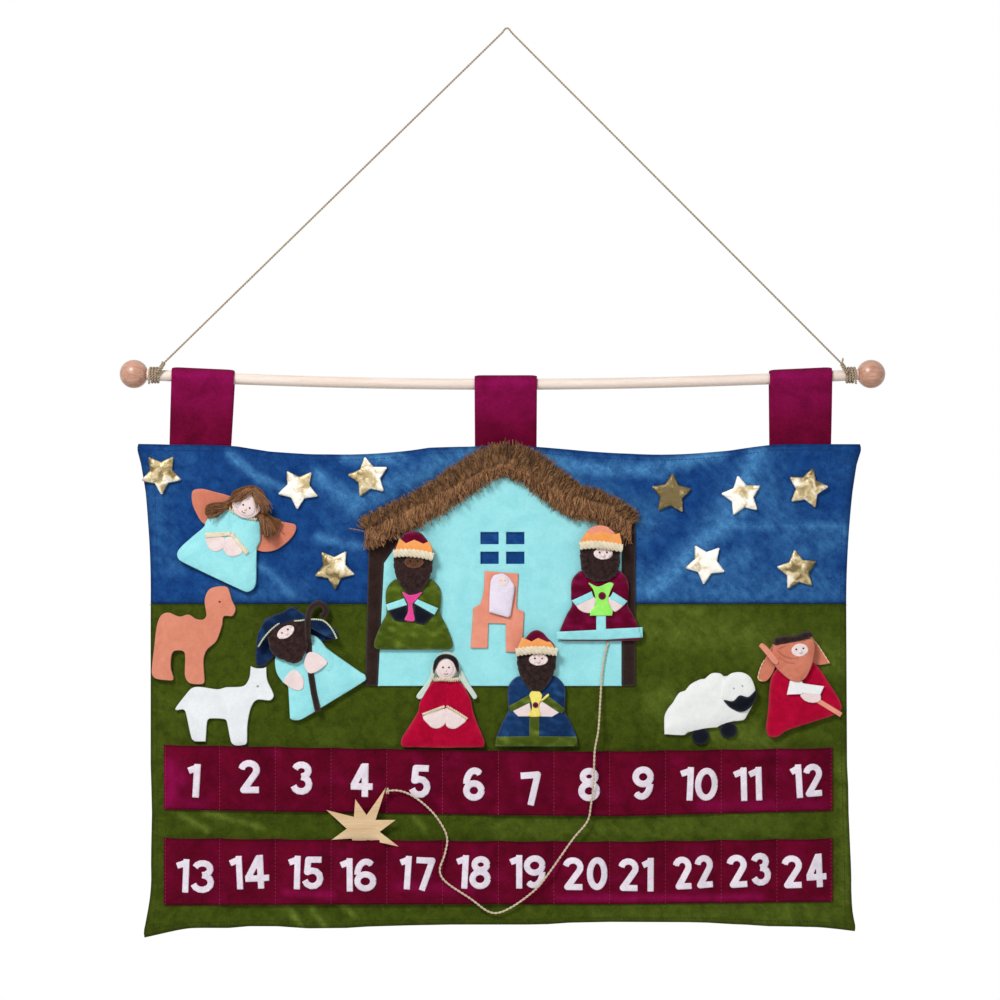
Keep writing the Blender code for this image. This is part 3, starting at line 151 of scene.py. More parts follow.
def smooth_run(points, spacing):
    """Points at an even spacing along a smooth curve through a run of points."""
    knots = [Vector(p) for p in points]
    knots = [2 * knots[0] - knots[1], *knots, 2 * knots[-1] - knots[-2]]
    dense = []
    for a, b, c, d in zip(knots, knots[1:], knots[2:], knots[3:]):
        count = max(4, round((c - b).length / spacing * 3))
        for i in range(count):
            t = i / count
            dense.append((b * 2 + (c - a) * t + (a * 2 - b * 5 + c * 4 - d) * t * t + (b * 3 - a - c * 3 + d) * t**3)
                / 2)
    dense = np.array([*dense, knots[-2]])
    along = np.concatenate([[0], np.cumsum(np.linalg.norm(np.diff(dense, axis=0), axis=1))])
    even = np.linspace(0, along[-1], max(2, round(along[-1] / spacing) + 1))
    return np.stack([np.interp(even, along, dense[:, k]) for k in range(3)], axis=1)


def twine(run, width, lay, plies=2, sides=6, flat=1):
    """Plies twisted round a run of points, in millimetres: corners and faces. Flat squashes it front to back."""
    run = smooth_run(run, lay / LAY_STEPS)
    ahead = np.gradient(run, axis=0)
    ahead /= np.linalg.norm(ahead, axis=1)[:, None]
    across = np.zeros_like(run)
    side = np.cross(ahead[0], (0.3, 1, 0.2))
    for i, direction in enumerate(ahead):
        side = side - direction * side.dot(direction)
        side /= np.linalg.norm(side)
        across[i] = side
    up = np.cross(ahead, across)
    along = np.arange(len(run)) * math.tau / LAY_STEPS
    points, faces = [], []
    turns = np.arange(sides) * math.tau / sides
    for ply in range(plies):
        turn = along + math.tau * ply / plies
        centre = run + width * 0.25 * (np.cos(turn)[:, None] * across + np.sin(turn)[:, None] * up)
        rings = centre[:, None] + width * (0.27 if plies == 2 else 0.25) * (
            np.cos(turns)[None, :, None] * across[:, None] + np.sin(turns)[None, :, None] * up[:, None]
        )
        first = len(points)
        points += list(rings.reshape(-1, 3))
        for i in range(len(run) - 1):
            for k in range(sides):
                a, b = first + i * sides + k, first + i * sides + (k + 1) % sides
                faces.append((a, a + sides, b + sides, b))
        faces.append(tuple(first + k for k in range(sides)))
        faces.append(tuple(first + (len(run) - 1) * sides + k for k in reversed(range(sides))))
    points = np.array(points)
    if flat != 1:
        middle = run[:, 1].mean()
        points[:, 1] = middle + (points[:, 1] - middle) * flat
    return points, faces


def finish(name, points, faces, look, body, slot, stands_for=(), marks=None, crease=45):
    """A finished piece from corners in millimetres, riding on its body (or on none yet) and standing for nodes."""
    mesh = bpy.data.meshes.new(name)
    mesh.from_pydata((np.asarray(points) * MM).tolist(), [], faces)
    for mark, values in (marks or {}).items():
        mesh.attributes.new(mark, "FLOAT", "POINT").data.foreach_set("value", np.asarray(values, dtype=np.float32))
    return settle(name, mesh, look, body, slot, stands_for, crease)


def settle(name, mesh, look, body, slot, stands_for=(), crease=45):
    """Give a mesh its finish and its place among the pieces."""
    mesh.materials.clear()
    mesh.materials.append(look)
    mesh.shade_smooth()
    mesh.set_sharp_from_angle(angle=math.radians(crease))
    piece = bpy.data.objects.new(name, mesh)
    stage.collection.objects.link(piece)
    if body:
        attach(piece, body)
    if stands_for:
        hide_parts(*stands_for)
    return piece


def finish_twine(name, run, width, lay, look, body, slot, **more):
    points, faces = twine(run, width, lay, **more)
    finish(name, points, faces, look, body, slot)


def new_group(name, inputs, outputs):
    """An empty shader group with named sockets, and its two ends."""
    group = bpy.data.node_groups.new(name, "ShaderNodeTree")
    for socket, kind, value in inputs:
        group.interface.new_socket(socket, in_out="INPUT", socket_type=kind).default_value = value
    for socket, kind in outputs:
        group.interface.new_socket(socket, in_out="OUTPUT", socket_type=kind)
    return group, group.nodes.new("NodeGroupInput"), group.nodes.new("NodeGroupOutput")


def mix(tree, factor, first, second):
    """A colour mix of two sockets or colours."""
    return node_in(tree, "ShaderNodeMix", ((0, factor), (6, first), (7, second)), data_type="RGBA").outputs[2]


def cloud(tree, where, scale, detail=3, bend=0, stretch=None):
    """A noise over a place socket, stretched along some axes."""
    if stretch:
        where = node_in(tree, "ShaderNodeVectorMath", ((0, where), (1, stretch)), operation="MULTIPLY").outputs[0]
    fed = (("Vector", where), ("Scale", scale), ("Detail", detail), ("Distortion", bend))
    return node_in(tree, "ShaderNodeTexNoise", fed).outputs["Fac"]


def spread(tree, value, low, high):
    """A value stretched so that low to high fills 0 to 1."""
    return node_in(tree, "ShaderNodeMapRange", (("Value", value), ("From Min", low), ("From Max", high))).outputs[0]


def marked(tree, mark):
    """The values that a piece carries under the name of a mark."""
    return node_in(tree, "ShaderNodeAttribute", attribute_name=mark).outputs["Fac"]


def place_in(tree):
    """Where on the piece, in object coordinates."""
    return tree.nodes.new("ShaderNodeTexCoord").outputs["Object"]


def raise_bumps(tree, sockets, height, strength, distance):
    bump = node_in(tree, "ShaderNodeBump", (("Strength", strength), ("Distance", distance), ("Height", height)))
    tree.links.new(bump.outputs[0], sockets["Normal"])


def fibre_group():
    """Loose fibres: blotches where the dye took, short hairs, and a painted highlight that pales the colour where an
    edge was cut.
    """
    colour, number = "NodeSocketColor", "NodeSocketFloat"
    group, start, end = new_group(
        "loose_fibres",
        (("Light", colour, WHITE), ("Dark", colour, (0, 0, 0, 1)), ("Edge Highlight", number, 0),
            ("Hair Scale", number, 1100), ("Blotch Scale", number, 60)),
        (("Colour", colour), ("Height", number)),
    )
    where = place_in(group)
    blotch = spread(group, cloud(group, where, start.outputs["Blotch Scale"], 4, 0.6), 0.33, 0.67)
    tuft = spread(group, cloud(group, where, 330, 3, 1), 0.3, 0.7)
    hair = spread(group, cloud(group, where, start.outputs["Hair Scale"], 2, 2.5), 0.3, 0.7)
    fine = reckon(group, "MULTIPLY_ADD", tuft, 0.30, reckon(group, "MULTIPLY", hair, 0.28))
    shade = reckon(group, "MULTIPLY_ADD", blotch, 0.42, fine)
    base = mix(group, shade, start.outputs["Dark"], start.outputs["Light"])
    # Painted highlight: the colour is mixed towards white along cut edges, broken up by the hairs.
    paler = mix(group, 0.3, start.outputs["Light"], WHITE)
    rim = reckon(group, "MULTIPLY", start.outputs["Edge Highlight"], reckon(group, "MULTIPLY_ADD", hair, 0.28, 0.02))
    height = reckon(group, "MULTIPLY_ADD", tuft, 0.45, reckon(group, "MULTIPLY", hair, 0.55))
    group.links.new(mix(group, rim, base, paler), end.inputs["Colour"])
    group.links.new(height, end.inputs["Height"])
    return group


fibres = fibre_group()


def cloth_look(name, light, dark, sheen=0.15, rough=0.95, hair=1100, blotch=60, lit=None, raised=0.35):
    """A fibrous finish. With a lit colour, a mark of painted sheen lightens it towards that colour, and the mark seam
    darkens it with painted shade.
    """
    look, tree, sockets = start_look(name, Roughness=rough, Sheen_Weight=sheen, Sheen_Roughness=0.4,
        Specular_IOR_Level=0.08)
    pale, deep = dye(*light), dye(*dark)
    if lit:
        nap = marked(tree, "nap")
        pale, deep = mix(tree, nap, pale, dye(*lit)), mix(tree, nap, deep, pale)
    fed = (("Light", pale), ("Dark", deep), ("Edge Highlight", marked(tree, "edge")), ("Hair Scale", hair),
        ("Blotch Scale", blotch))
    group = node_in(tree, "ShaderNodeGroup", fed, node_tree=fibres)
    colour = group.outputs["Colour"]
    if lit:
        # Painted shade: the colour darkened towards 0.55 of the dark colour where the mark seam is high.
        colour = mix(tree, marked(tree, "seam"), colour, dye(*(c * 0.55 for c in dark)))
    tree.links.new(colour, sockets["Base Color"])
    raise_bumps(tree, sockets, group.outputs["Height"], raised, 0.0006)
    return look


def plain_felt(name, light, dark):
    return cloth_look(name, light, dark, 0.04, hair=1000)


jute = cloth_look("jute", (214, 194, 168), (152, 132, 106), 0.1, hair=1500, blotch=700, raised=0.6)


def winding_point(hand, turn):
    """A point of the turns round the rod: turn 0 is in front, and they run down, behind and up."""
    x = ROD_MIDDLE[0] + hand * (WINDING_REACH + WINDING_PITCH * (turn - 1.5))
    return Vector((x, -WINDING_RADIUS * math.cos(math.tau * turn),
        winding_axis - WINDING_RADIUS * math.sin(math.tau * turn)))


cord_tops = {}
for hand, side_name in ((-1, "left"), (1, "right")):
    front = winding_point(hand, 0)
    top = front + Vector((-hand * 6, 0, 12))
    cord_tops[hand] = top
    pull = (Vector((0, 0, NAIL_TOP)) - top).normalized()
    run = [top - pull * 3.3, (top - pull * 3.3).lerp(front, 0.6), *[winding_point(hand, i / 12) for i in range(37)]]
    run += [run[-1] + Vector((0, -0.7, -4.5)), run[-1] + Vector((0, -2.2, -9))]
    points, faces = twine([top, *run], CORD_WIDTH * 1.3, 5)
    knot_foot = front + Vector((hand * 0.5, -1.2, 2))
    back = Vector((0, 1, 0))
    aside = (top - knot_foot).cross(back).normalized()
    knot = [
        knot_foot.lerp(top, i / 47) + (back * math.cos(math.tau * i / 9) + aside * math.sin(math.tau * i / 9))
        * (1.9 - 0.012 * i)
        for i in range(46)
    ]
    tail = [top + Vector((hand * 0.5, -1.4, -2.5)), top + Vector((hand * 1.2, -2, 0.5)),
        top + Vector((hand * 1.9, -1.6, 2.5 + hand * 2))]
    for extra in (knot, tail):
        more, faces_more = twine(extra, CORD_WIDTH, 5)
        faces += [tuple(i + len(points) for i in face) for face in faces_more]
        points = np.concatenate([points, more])
    finish(f"winding_and_knot_{side_name}", points, faces, jute, "hanger", "jute", [f"cord_winding_{side_name}"])

rise = [Vector(p) for p in ((-5, 0, NAIL_TOP - 5), (-2.5, 0, NAIL_TOP - 1.5), (0, 0, NAIL_TOP),
    (2.5, 0, NAIL_TOP - 1.5), (5, 0, NAIL_TOP - 5))]
cord_run = [cord_tops[-1].lerp(rise[0], i / 6) for i in range(6)] + rise + [cord_tops[1].lerp(rise[-1], i / 6)
    for i in range(5, -1, -1)]
cord_run = smooth_run(cord_run, 8)
points, faces = twine(cord_run, CORD_WIDTH, 5)


def hairs_on(points, faces, run, count, seed, least, most):
    """The corners and faces of a twine with loose hairs standing out from it."""
    chance = np.random.default_rng(seed)
    spots = chance.integers(1, len(run) - 1, count)
    roots = run[spots] + (run[spots + 1] - run[spots]) * chance.random((count, 1))
    out = chance.normal(size=(count, 3))
    out /= np.linalg.norm(out, axis=1)[:, None]
    tips = roots + out * chance.uniform(least, most, (count, 1))
    thick = np.cross(out, (0.1, 0.2, 1)) * 0.06
    more = np.stack([roots + thick, roots - thick, roots + np.cross(out, thick), tips], 1).reshape(-1, 3)
    for a in range(len(points), len(points) + 4 * count, 4):
        faces += [(a, a + 1, a + 3), (a + 1, a + 2, a + 3), (a + 2, a, a + 3), (a, a + 2, a + 1)]
    return np.concatenate([points, more]), faces


points, faces = hairs_on(points, faces, cord_run, 420, 5, 1.3, 1.8)
hanging = finish("hanging_twine", points, faces, jute, "hanger", "jute", ["hanging_cord"])

# The comet's string: thin natural string, knotted through the stable wall, hanging over both pocket rows and
# back up to the comet star, where it is tied round the long point.
STRING_WIDTH = 2.2
comet_route = [
    (100, -4.3, -616), (96.5, -4.6, -632), (94.3, -5, -652), (93, -6.8, -673), (91, -12.2, -700), (87.5, -14, -719),
    (86.8, -14.2, -732), (86, -11.8, -755), (83.6, -7.5, -776), (80, -6.6, -792), (65, -9.6, -810),
    (41, -10, -844), (26.6, -8.4, -861), (2, -4.4, -879), (-16, -4, -883), (-37, -6.6, -868.5),
    (-61, -7.8, -852), (-67, -8.4, -840), (-62, -7, -824), (-60, -5.8, -807), (-70, -6, -788),
    (-84.4, -8.6, -773), (-99, -9.8, -763.5), (-111, -9.6, -760.5), (-121.1, -9.4, -761.5),
]
string_run = smooth_run(comet_route, 5)
string_look = cloth_look("string", (244, 226, 200), (198, 174, 144), 0.1, hair=1500, blotch=700, raised=0.6)
points, faces = twine(string_run, STRING_WIDTH, 8)
points, faces = hairs_on(points, faces, string_run, 900, 6, 1.3, 2)
comet_string = finish("comet_string", points, faces, string_look, None, "comet_string", ["comet_cord"])
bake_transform(comet_string)
loops = [Vector((-119.5, 0, -761.2)) + Vector((1.1 * math.sin(t / 3), -7.9 + 2.4 * math.cos(t), 2.5 * math.sin(t)))
    for t in np.linspace(0, math.tau * 2, 26)]
finish_twine("string_knot_at_star", loops, STRING_WIDTH * 0.8, 5, string_look, "comet", "comet_string")
finish_twine("string_stitch_in_wall", [(99.5, -2.9, -612), (100.8, -4.6, -613.6), (100, -4.3, -616.5)], STRING_WIDTH,
    4, string_look, "banner", "comet_string")

# The rod: a thin round stick of pale wood, bowed by the weight. A turned and varnished beech ball is glued
# on each end.


def wood_group():
    """Wood grain: long streaks along the piece, and fine pores."""
    colour, number = "NodeSocketColor", "NodeSocketFloat"
    group, start, end = new_group(
        "wood_grain",
        (("Pale", colour, WHITE), ("Deep", colour, (0, 0, 0, 1)), ("Streaks", number, 200)),
        (("Colour", colour), ("Height", number)),
    )
    where = place_in(group)
    streak = spread(group, cloud(group, where, start.outputs["Streaks"], 4, 0.8, (0.06, 1, 1)), 0.3, 0.7)
    pore = spread(group, cloud(group, where, 1800, 2, 0, (0.08, 1, 1)), 0.35, 0.65)
    shade = reckon(group, "MULTIPLY_ADD", streak, 0.75, reckon(group, "MULTIPLY", pore, 0.25))
    group.links.new(mix(group, shade, start.outputs["Pale"], start.outputs["Deep"]), end.inputs["Colour"])
    group.links.new(pore, end.inputs["Height"])
    return group


grain = wood_group()


def wood_look(name, pale, deep, streaks, rough, varnish):
    look, tree, sockets = start_look(name, Roughness=rough, Coat_Weight=varnish, Coat_Roughness=0.25)
    fed = (("Pale", dye(*pale)), ("Deep", dye(*deep)), ("Streaks", streaks))
    group = node_in(tree, "ShaderNodeGroup", fed, node_tree=grain)
    tree.links.new(group.outputs["Colour"], sockets["Base Color"])
    raise_bumps(tree, sockets, group.outputs["Height"], 0.15, 0.0004)
    return look


def rod_z(x):
    return ROD_MIDDLE[1] - ROD_BOW * (1 - ((x - ROD_MIDDLE[0]) / ROD_HALF) ** 2)


SIDES, DOWEL_HALF = 40, 369.9
rings = [(x, rod_z(x)) for x in np.linspace(ROD_MIDDLE[0] - DOWEL_HALF, ROD_MIDDLE[0] + DOWEL_HALF, 61)]
turns = np.arange(SIDES) * math.tau / SIDES
points = [(x, ROD_RADIUS * math.cos(t), z + ROD_RADIUS * math.sin(t)) for x, z in rings for t in turns]
faces = [
    (i * SIDES + k, i * SIDES + (k + 1) % SIDES, (i + 1) * SIDES + (k + 1) % SIDES, (i + 1) * SIDES + k)
    for i in range(len(rings) - 1) for k in range(SIDES)
]
faces += [tuple(reversed(range(SIDES))), tuple((len(rings) - 1) * SIDES + k for k in range(SIDES))]
finish("dowel", points, faces, wood_look("dowel_wood", (248, 234, 224), (228, 206, 190), 260, 0.55, 0), "banner",
    "rod_wood", ["rod"])

BALL_RADIUS, BORE, BALL_SIDES = 14.25, 5.55, 48
beech = wood_look("varnished_beech", (214, 164, 140), (168, 114, 88), 330, 0.4, 0.5)
slope = math.atan(2 * ROD_BOW / ROD_HALF)
mouth = math.asin(BORE / BALL_RADIUS)
profile = [(0, -1.75), (BORE, -1.75)] + [(BALL_RADIUS * math.sin(t), -BALL_RADIUS * math.cos(t))
    for t in np.linspace(mouth, math.pi, 30)]
for hand, side_name in ((-1, "left"), (1, "right")):
    centre = Vector((ROD_MIDDLE[0] + hand * ROD_HALF, 0, rod_z(ROD_MIDDLE[0] + ROD_HALF)))
    axis = Vector((hand * math.cos(slope), 0, math.sin(slope)))
    lift = Vector((-hand * axis.z, 0, hand * axis.x)) * hand
    points, faces = [], []
    rings = []
    for radius, out in profile:
        count = 1 if radius < 0.01 else BALL_SIDES
        rings.append([len(points) + k % count for k in range(BALL_SIDES)])
        for t in np.arange(count) * math.tau / BALL_SIDES:
            points.append(centre + axis * out + Vector((0, 1, 0)) * radius * math.cos(t) + lift * radius * math.sin(t))
    for near, far in zip(rings, rings[1:]):
        for k in range(BALL_SIDES):
            j = (k + 1) % BALL_SIDES
            corners = list(dict.fromkeys((near[k], near[j], far[j], far[k])))
            faces.append(tuple(corners if hand > 0 else reversed(corners)))
    finish(f"turned_ball_{side_name}", points, faces, beech, "banner", "ball_wood", [f"ball_{side_name}"])


# The banner: a sky and a ground of plush cloth, butted at the horizon, sewn to one back cloth round the edge and
# hanging in faint folds. Paler streaks of painted sheen run along the sky's folds, and painted shade darkens the
# cloth along its edges and at the horizon.
WIDE, TALL, LEFT, TOP, SKY_TALL = 695, 482, -355, -416, 158.7
TAB_SHARES = (0.071, 0.509, 0.933)
CLOTH_FACE, PANEL_FACE = -0.3, 4.6
NAIL_ACROSS, NAIL_DOWN = 507, 29  # the nail's place on the pattern sheet that streaks and cuts are drawn on


def ease(t):
    t = np.clip(t, 0, 1)
    return t * t * (3 - 2 * t)


# How far the sides and the foot stray from straight, by millimetres down and by share across.
SIDE_DOWNS = (6, 20, 48, 76, 104, 160, 318, 340, 366, 398, 414, 430, 446, 462, 478)
SIDE_SHIFTS = (
    (-1.6, -0.2, 0.6, -0.2, -0.6, -1.7, -1.7, -1, -0.4, -1.1, -1.3, -1.1, -1.7, -2.6, -3),
    (1, -1.1, -1.5, -1.1, -0.8, -0.4, 0.4, 1.6, 2, 3.4, 4.2, 4.7, 4.4, 3.5, 3.2),
)
TOP_SHARES = (0, 0.028, 0.123, 0.14, 0.169, 0.227, 0.255, 0.313, 0.37, 0.399, 0.428, 0.457, 0.572, 0.629, 0.687, 0.773,
    0.831, 0.86, 0.888, 1)
TOP_DROPS = (-1.2, -0.4, 0.2, 1.3, 2.7, 1.8, 0.8, 0, -0.8, -2, -0.8, 0.4, 1, 0.9, 0.1, 1, 1.3, 0.1, -0.9, -0.9)
FOOT_SHARES = (0, 0.023, 0.052, 0.11, 0.14, 0.18, 0.224, 0.28, 0.31, 0.37, 0.43, 0.54, 0.57, 0.6, 0.66, 0.77, 0.8,
    0.83, 0.857, 0.886, 0.94, 0.97, 1)
FOOT_LIFTS = (-4, -2.7, -1.3, -1.4, 0.4, 0.3, -1.8, -1.4, 0, 1.2, 2, 2, 2.4, 3.9, 4.7, 4.4, 3.9, 2.6, 1.8, 0.4, -0.2,
    1, 2.4)


def on_banner(share, down):
    """Where a point of the cloth hangs: share across, and millimetres down from the top edge."""
    sag = np.zeros_like(share)
    for a, b in zip(TAB_SHARES, TAB_SHARES[1:]):
        sag += np.where((share > a) & (share < b), 9 * np.sin(np.pi * (share - a) / (b - a)) ** 2, 0)
    sag += np.interp(share, TOP_SHARES, TOP_DROPS)
    from_side = np.minimum(share, 1 - share) * WIDE
    flare = 14.5 * np.maximum(0, 1 - down / 165) ** 2 * (1 - 0.14 * np.maximum(0, 1 - down / 5))
    flare += 7 * np.maximum(0, 1 - (TALL - down) / 50) ** 2 * (1 - 0.3 * np.maximum(0, 1 - (TALL - down) / 5))
    x = LEFT + share * WIDE + np.sign(share - 0.5) * flare * np.maximum(0, 1 - from_side / 20) ** 2
    left, right = (np.interp(down, SIDE_DOWNS, shifts) for shifts in SIDE_SHIFTS)
    x += np.where(share < 0.5, left, right) * np.maximum(0, 1 - from_side / 50) ** 2
    droop = 7 * np.maximum(0, 1 - from_side / 50) ** 2 * (down / TALL) ** 4
    droop -= np.interp(share, FOOT_SHARES, FOOT_LIFTS) * np.maximum(0, 1 - (TALL - down) / 45) ** 2
    return x, TOP - sag * np.maximum(0, 1 - down / 100) - down - droop


def noise_at(x, z, depth):
    """Smooth noise at places given as two arrays."""
    return np.array([noise.noise(Vector((a, b, depth))) for a, b in zip(x, z)])


def near_lines(x, z, lines, width):
    """1 on some lines and fading to 0 beside them."""
    most = np.zeros_like(x)
    for a, b in lines:
        a, b = np.array(a), np.array(b)
        t = np.clip(((x - a[0]) * (b - a)[0] + (z - a[1]) * (b - a)[1]) / (b - a).dot(b - a), 0, 1)
        away = np.hypot(x - a[0] - t * (b - a)[0], z - a[1] - t * (b - a)[1]) / width
        most = np.maximum(most, np.exp(-away * away))
    return most


FOLD_SHARES = (
    ((0.12, 0), (0.17, 0.1)), ((0.03, 0.12), (0.05, 0.3)), ((0.44, 0.01), (0.36, 0.13)),
    ((0.56, 0.01), (0.69, 0.07)), ((0.88, 0.01), (0.76, 0.05)), ((0.98, 0.1), (0.99, 0.3)),
    ((0.03, 0.42), (0.02, 0.6)), ((0.72, 0.36), (0.86, 0.44)), ((0.05, 0.79), (0.24, 0.78)),
    ((0.5, 0.78), (0.8, 0.79)), ((0.12, 0.97), (0.5, 0.965)),
)
folds = [[(LEFT + u * WIDE, TOP - v * TALL) for u, v in line] for line in FOLD_SHARES]


def front_of_cloth(share, down, x, z):
    """How far back the front cloth's inner side lies: level, drawn back at the seams and folds."""
    tabs = np.zeros_like(share)
    for place in TAB_SHARES:
        tabs = np.maximum(tabs, ease(1 - (abs(share - place) * WIDE - 34.25) / 22))
    side = ease(np.minimum(share, 1 - share) * WIDE / 5)
    head = np.maximum(tabs, ease(down / 5))
    over_tab = tabs * ease(1 - (down - 13) / 22)
    fold = 2.2 * near_lines(x, z, folds, 13) * ease(abs(z - TOP + SKY_TALL) / 13 - 1)
    return PANEL_FACE - 0.3 - side * head * ease((TALL - down) / 5) * (3.1 - fold * (1 - over_tab))


def close_up(front, back, faces):
    """A front and a back surface with the same faces, joined round their edges."""
    count = len(front)
    sides = {side for face in faces for side in zip(face, face[1:] + face[:1])}
    walls = [(b, a, a + count, b + count) for a, b in sorted(sides) if (b, a) not in sides]
    return np.concatenate([front, back]), faces + [tuple(v + count for v in reversed(face)) for face in faces] + walls


def grid_faces(rows, columns):
    return [(i * columns + j, (i + 1) * columns + j, (i + 1) * columns + j + 1, i * columns + j + 1)
        for i in range(rows - 1) for j in range(columns - 1)]


def sheet(points):
    """Points from the pattern sheet, in millimetres across and down from its top left corner."""
    return [(p[0] - NAIL_ACROSS, NAIL_DOWN - p[1], *p[2:]) for p in points]


def hang_cloth(name, first_down, last_down, look, slot, streaks, thick=1.5, step=3.4, back_panel=False):
    columns, rows = round(WIDE / step) + 1, round((last_down - first_down) / step) + 1
    share, down = np.meshgrid(np.linspace(0, 1, columns), np.linspace(first_down, last_down, rows))
    share, down = share.ravel(), down.ravel()
    x, z = on_banner(share, down)
    if back_panel:
        inner = PANEL_FACE + 1.2 + 0.35 * np.sin(x / 61) * np.sin(z / 47) * ease(np.minimum(share, 1 - share) * 12)
    else:
        inner = front_of_cloth(share, down, x, z)
    front, back = np.stack([x, inner - thick, z], 1), np.stack([x, inner, z], 1)
    points, faces = close_up(front, back, grid_faces(rows, columns))
    # Painted sheen: paler along the streak lines, over wavy noise and broad patches.
    nap = np.zeros_like(x)
    for strength, width, lines in streaks:
        nap = np.maximum(nap, strength * near_lines(x, z, [sheet(line) for line in lines], width))
    sheen_noise = noise_at(x * 0.05 - z * 0.07, (x + z) * 0.17, 2)
    broad_sheen_noise = noise_at(x * 0.02, z * 0.026, 9)
    nap = np.clip(nap * (0.9 + 0.45 * sheen_noise) + 0.1 * sheen_noise + 0.16 * np.maximum(broad_sheen_noise, -0.1), 0, 1)
    # Painted shade along the rolled edges, and a painted shadow at the horizon: along the sky's lower edge and on the
    # ground's top row.
    from_edge = np.minimum(np.minimum(share, 1 - share) * WIDE, np.minimum(down, TALL - down))
    if last_down < TALL:
        horizon = 0.75 * np.exp(-(((SKY_TALL - down) / 2.5) ** 2))
    else:
        horizon = 0.4 * (down < first_down + 0.3) * (first_down > 0)
    seam = np.maximum(np.exp(-((from_edge / 2) ** 2)) * 0.5, horizon)
    piece = finish(name + "_plush", points, faces, look, "banner", slot, [name],
        {"nap": np.tile(nap, 2), "seam": np.tile(seam, 2)})


plush_blue = cloth_look("sky_plush", (30, 82, 148), (6, 40, 98), 0.04, hair=500, blotch=90, lit=(96, 168, 220),
    raised=0.5)
plush_green = cloth_look("grass_plush", (78, 92, 20), (38, 52, 6), 0.03, hair=620, blotch=80, lit=(120, 140, 56),
    raised=0.5)
# Painted sheen streaks on the pattern sheet: strength, width and lines.
sky_sheen_streaks = (
    (0.8, 5, (((231, 455), (258, 478)), ((258, 478), (285, 490)))),
    (0.7, 8, (((317, 476), (349, 500)), ((346, 456), (400, 459)))),
    (0.65, 12, (((354, 503), (432, 468)), ((432, 466), (470, 452)))),
    (0.6, 5, (((319, 538), (360, 546)), ((260, 565), (292, 595)))),
    (0.9, 8, (((545, 460), (600, 470)), ((600, 470), (660, 470)), ((660, 468), (720, 452)))),
    (0.95, 11, (((757, 452), (747, 480)), ((752, 488), (728, 519)), ((728, 519), (696, 548)),
        ((696, 548), (655, 590)))),
    (0.6, 5, (((714, 526.5), (842, 526)),)),
    (0.5, 14, (((822, 545), (845, 530)), ((735, 500), (700, 540)), ((700, 575), (745, 560)))),
    (0.35, 24, (((640, 590), (820, 590)), ((760, 480), (800, 560)), ((555, 480), (640, 520)))),
    (0.2, 16, (((150, 470), (165, 560)), ((220, 590), (300, 592)))),
)
ground_sheen_streaks = (
    (0.5, 20, (((650, 625), (760, 640)), ((760, 640), (845, 660)), ((660, 700), (760, 745)))),
    (0.45, 8, (((843, 760), (848, 900)), ((640, 612), (700, 612)))),
    (0.8, 3.2, (((180, 815), (206, 830)), ((206, 813), (262, 828)), ((289, 908), (301, 926)), ((312, 909), (326, 928)),
        ((344, 907), (354, 916)), ((415, 818), (424, 829)))),
    (0.25, 16, (((500, 830), (780, 828)), ((600, 922), (840, 915)))),
)
hang_cloth("sky_cloth", 0, SKY_TALL - 0.15, plush_blue, "sky_blue", sky_sheen_streaks)
hang_cloth("ground_cloth", SKY_TALL + 0.15, TALL, plush_green, "grass_green", ground_sheen_streaks)
hang_cloth("back_panel", 0, TALL, plush_blue, "sky_blue", (), 1.2, 9, True)

# Running stitches in cotton thread: round the banner inside its edge, along the horizon, and later on the pockets.
# Each stitch is one small bead of thread, and they follow lines drawn on the cloth.


def start_tree(name, inputs):
    tree = bpy.data.node_groups.new(name, "GeometryNodeTree")
    tree.interface.new_socket("Geometry", in_out="OUTPUT", socket_type="NodeSocketGeometry")
    tree.interface.new_socket("Geometry", in_out="INPUT", socket_type="NodeSocketGeometry")
    for socket, kind in inputs:
        tree.interface.new_socket(socket, in_out="INPUT", socket_type=kind)
    return tree, tree.nodes.new("NodeGroupInput").outputs


def stitch_tree():
    number = "NodeSocketFloat"
    tree, given = start_tree("running_stitch", (("Pitch", number), ("Length", number), ("Thread", number),
        ("Look", "NodeSocketMaterial")))
    line = node_in(tree, "GeometryNodeMeshToCurve", [("Mesh", given["Geometry"])])
    line = node_in(tree, "GeometryNodeResampleCurve", [("Curve", line.outputs[0]), ("Length", given["Pitch"])],
        mode="LENGTH")
    bead = node_in(tree, "GeometryNodeMeshUVSphere", [("Segments", 6), ("Rings", 4), ("Radius", 0.5)])
    size = node_in(tree, "ShaderNodeCombineXYZ", [(0, given["Length"]), (1, given["Thread"]), (2, given["Thread"])])
    along = node_in(tree, "GeometryNodeInputTangent")
    turn = node_in(tree, "FunctionNodeAlignRotationToVector", [("Vector", along.outputs[0])], axis="X")
    beads = node_in(tree, "GeometryNodeInstanceOnPoints", [
        ("Points", line.outputs[0]), ("Instance", bead.outputs[0]), ("Rotation", turn.outputs[0]),
        ("Scale", size.outputs[0]),
    ])
    real = node_in(tree, "GeometryNodeRealizeInstances", [("Geometry", beads.outputs[0])])
    dyed = node_in(tree, "GeometryNodeSetMaterial", [("Geometry", real.outputs[0]), ("Material", given["Look"])])
    tree.links.new(dyed.outputs[0], tree.nodes.new("NodeGroupOutput").inputs[0])
    return tree


def grow(name, tree, mesh, values, look, body, slot):
    """Run a geometry tree on a mesh and keep what it makes as a plain mesh."""
    seedling = bpy.data.objects.new(name + "_lines", mesh)
    stage.collection.objects.link(seedling)
    rule = seedling.modifiers.new("grown", "NODES")
    rule.node_group = tree
    for item in tree.interface.items_tree:
        if item.in_out == "INPUT" and item.name in values:
            rule[item.identifier] = values[item.name]
    grown = bpy.data.meshes.new_from_object(seedling.evaluated_get(bpy.context.evaluated_depsgraph_get()))
    seedling.modifiers.clear()
    bpy.data.objects.remove(seedling, do_unlink=True)
    return settle(name, grown, look, body, slot, (), 60)


stitches = stitch_tree()


